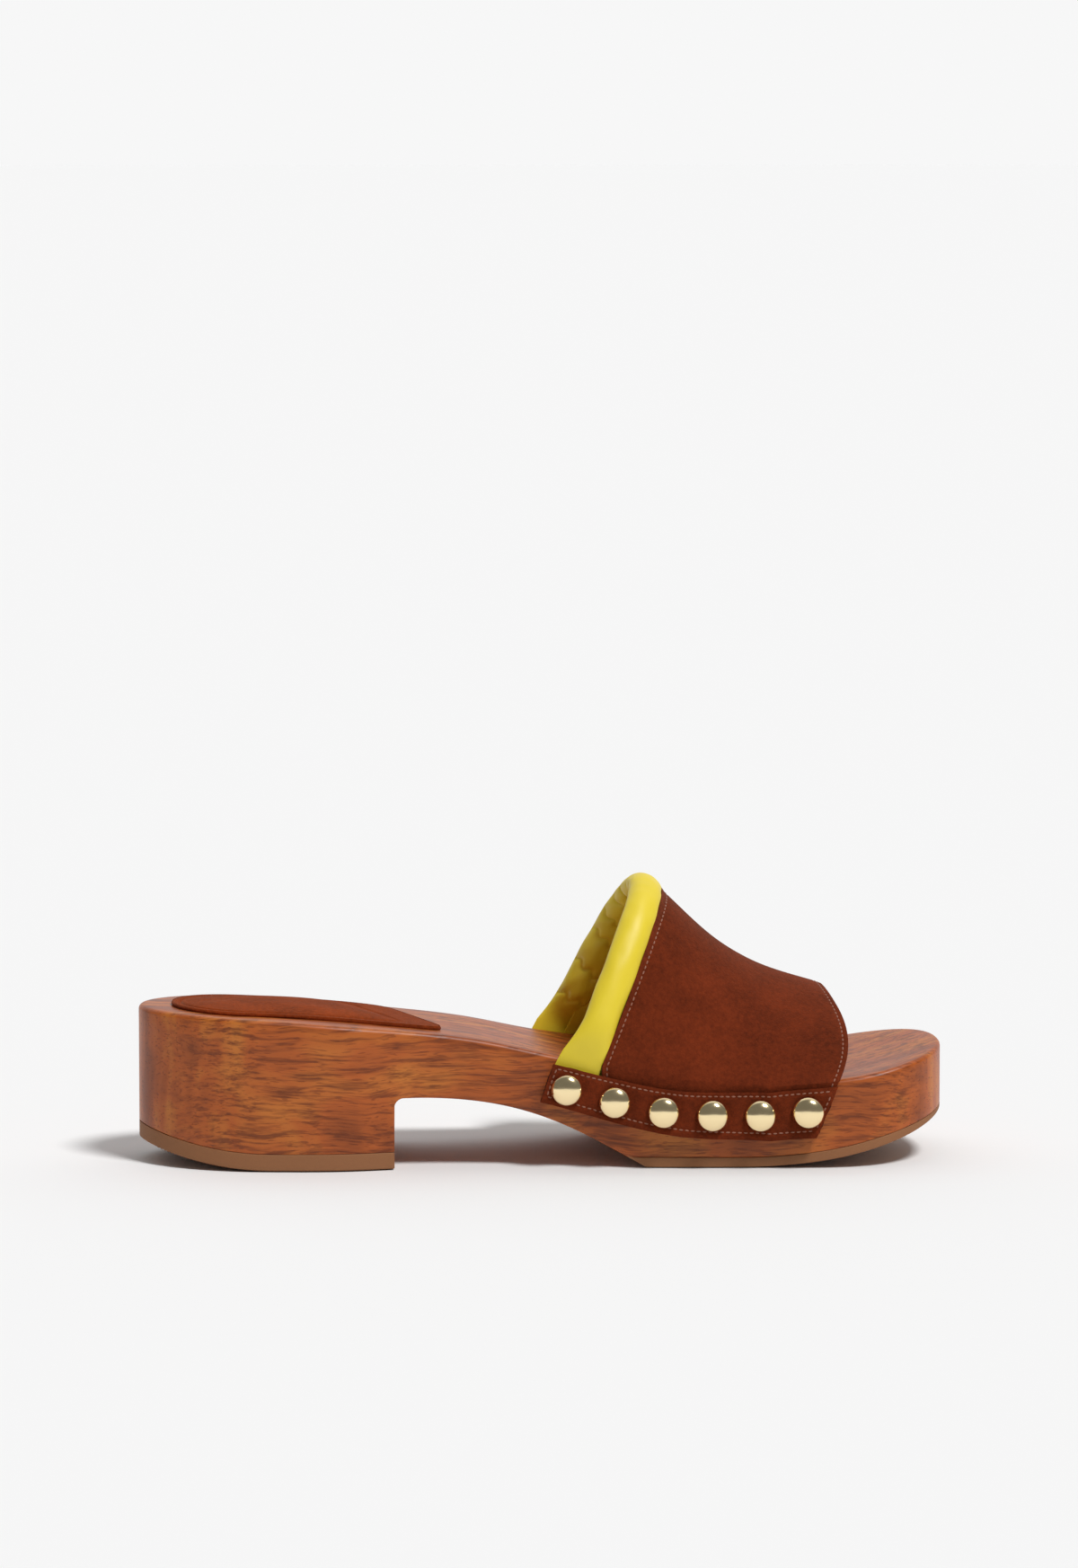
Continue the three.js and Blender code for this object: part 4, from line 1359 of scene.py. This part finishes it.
class CLOG_OT_stage(bpy.types.Operator):
    """Set up the pale floor, the soft studio light and the camera"""
    bl_idname = "clog.stage"
    bl_label = "Floor, light and camera"

    def execute(self, context):
        scene = context.scene
        bm = bmesh.new()
        bmesh.ops.create_grid(bm, x_segments=1, y_segments=1, size=60)
        mesh = bpy.data.meshes.new("floor")
        bm.to_mesh(mesh)
        bm.free()
        material, tree = new_material("matt_floor")
        shader = add_node(tree, "ShaderNodeBsdfPrincipled",
                          {"Base Color": scene.clog_colours.floor, "Roughness": 1.0,
                           "Specular IOR Level": 0.0})
        finish_material(tree, shader)
        mesh.materials.append(material)
        floor = bpy.data.objects.new("floor", mesh)
        floor.location.z = -0.0002
        context.collection.objects.link(floor)

        # a key light from the front right, whose shadow falls to the left of the heel
        lamp = bpy.data.lights.new("key", "SUN")
        lamp.energy = 2.4
        lamp.angle = math.radians(14)
        light = bpy.data.objects.new("key", lamp)
        light.rotation_mode = "QUATERNION"
        light.rotation_quaternion = Vector((0.36, -0.52, 0.95)).to_track_quat("Z", "Y")
        context.collection.objects.link(light)

        # the room: a wide soft light overhead and behind, and the darker room in front
        world = bpy.data.worlds.new("studio")
        world.use_nodes = True
        tree = world.node_tree
        tree.nodes.clear()
        looking = add_node(tree, "ShaderNodeTexCoord").outputs["Generated"]
        lean = add_node(tree, "ShaderNodeVectorMath", {0: looking, 1: (0.1, 0.79, 0.6)},
                        operation="DOT_PRODUCT").outputs["Value"]
        room = add_node(tree, "ShaderNodeMapRange",
                        {"Value": lean, "From Min": 0.35, "From Max": 0.8,
                         "To Min": 0.16, "To Max": 0.78}, interpolation_type="SMOOTHSTEP")
        seen = add_node(tree, "ShaderNodeLightPath").outputs["Is Camera Ray"]
        strength = add_node(tree, "ShaderNodeMix",
                            {"Factor": seen, "A": room.outputs["Result"], "B": 0.931})
        back = add_node(tree, "ShaderNodeBackground",
                        {"Color": (1, 1, 1, 1), "Strength": strength.outputs["Result"]})
        output = add_node(tree, "ShaderNodeOutputWorld")
        tree.links.new(back.outputs["Background"], output.inputs["Surface"])
        scene.world = world
        scene.view_settings.view_transform = "Standard"

        camera = bpy.data.cameras.new("camera")
        camera.lens = 144
        camera.sensor_width = 36
        azimuth, elevation = math.radians(-7), math.radians(8)
        distance = 2.0
        raised = math.radians(2.07)
        back_way = Vector((math.sin(azimuth) * math.cos(elevation),
                           -math.cos(azimuth) * math.cos(elevation), math.sin(elevation)))
        aimed = elevation - raised
        look_way = Vector((math.sin(azimuth) * math.cos(aimed),
                           -math.cos(azimuth) * math.cos(aimed), math.sin(aimed)))
        eye = bpy.data.objects.new("camera", camera)
        eye.location = to_frame(Vector((SOLE_LENGTH / 2, 0, 45))) + back_way * distance
        eye.rotation_mode = "QUATERNION"
        eye.rotation_quaternion = (-look_way).to_track_quat("-Z", "Y")
        context.collection.objects.link(eye)
        scene.camera = eye
        return {"FINISHED"}


class CLOG_PT_panel(bpy.types.Panel):
    """The clog's sizes and colours, and a button for each of its pieces"""
    bl_idname = "CLOG_PT_panel"
    bl_label = "Wooden clog"
    bl_space_type = "VIEW_3D"
    bl_region_type = "UI"
    bl_category = "Clog"

    def draw(self, context):
        for group in (context.scene.clog_sizes, context.scene.clog_colours):
            column = self.layout.column()
            for key in group.__annotations__:
                column.prop(group, key)
        for operator in OPERATORS:
            self.layout.operator(operator.bl_idname)


OPERATORS = (CLOG_OT_sole, CLOG_OT_treads, CLOG_OT_heel_pad, CLOG_OT_vamp, CLOG_OT_collar,
             CLOG_OT_bands, CLOG_OT_stitches, CLOG_OT_studs, CLOG_OT_nails, CLOG_OT_stage)
CLASSES = (ClogSizes, ClogColours) + OPERATORS + (CLOG_PT_panel,)


def register():
    for item in CLASSES:
        bpy.utils.register_class(item)
    bpy.types.Scene.clog_sizes = bpy.props.PointerProperty(type=ClogSizes)
    bpy.types.Scene.clog_colours = bpy.props.PointerProperty(type=ClogColours)


def unregister():
    del bpy.types.Scene.clog_colours
    del bpy.types.Scene.clog_sizes
    for item in reversed(CLASSES):
        bpy.utils.unregister_class(item)


def main():
    register()
    bpy.ops.clog.sole()
    bpy.ops.clog.treads()
    bpy.ops.clog.heel_pad()
    bpy.ops.clog.vamp()
    bpy.ops.clog.collar()
    bpy.ops.clog.bands()
    bpy.ops.clog.stitches()
    bpy.ops.clog.studs()
    bpy.ops.clog.nails()
    bpy.ops.clog.stage()


if __name__ == "__main__":
    main()
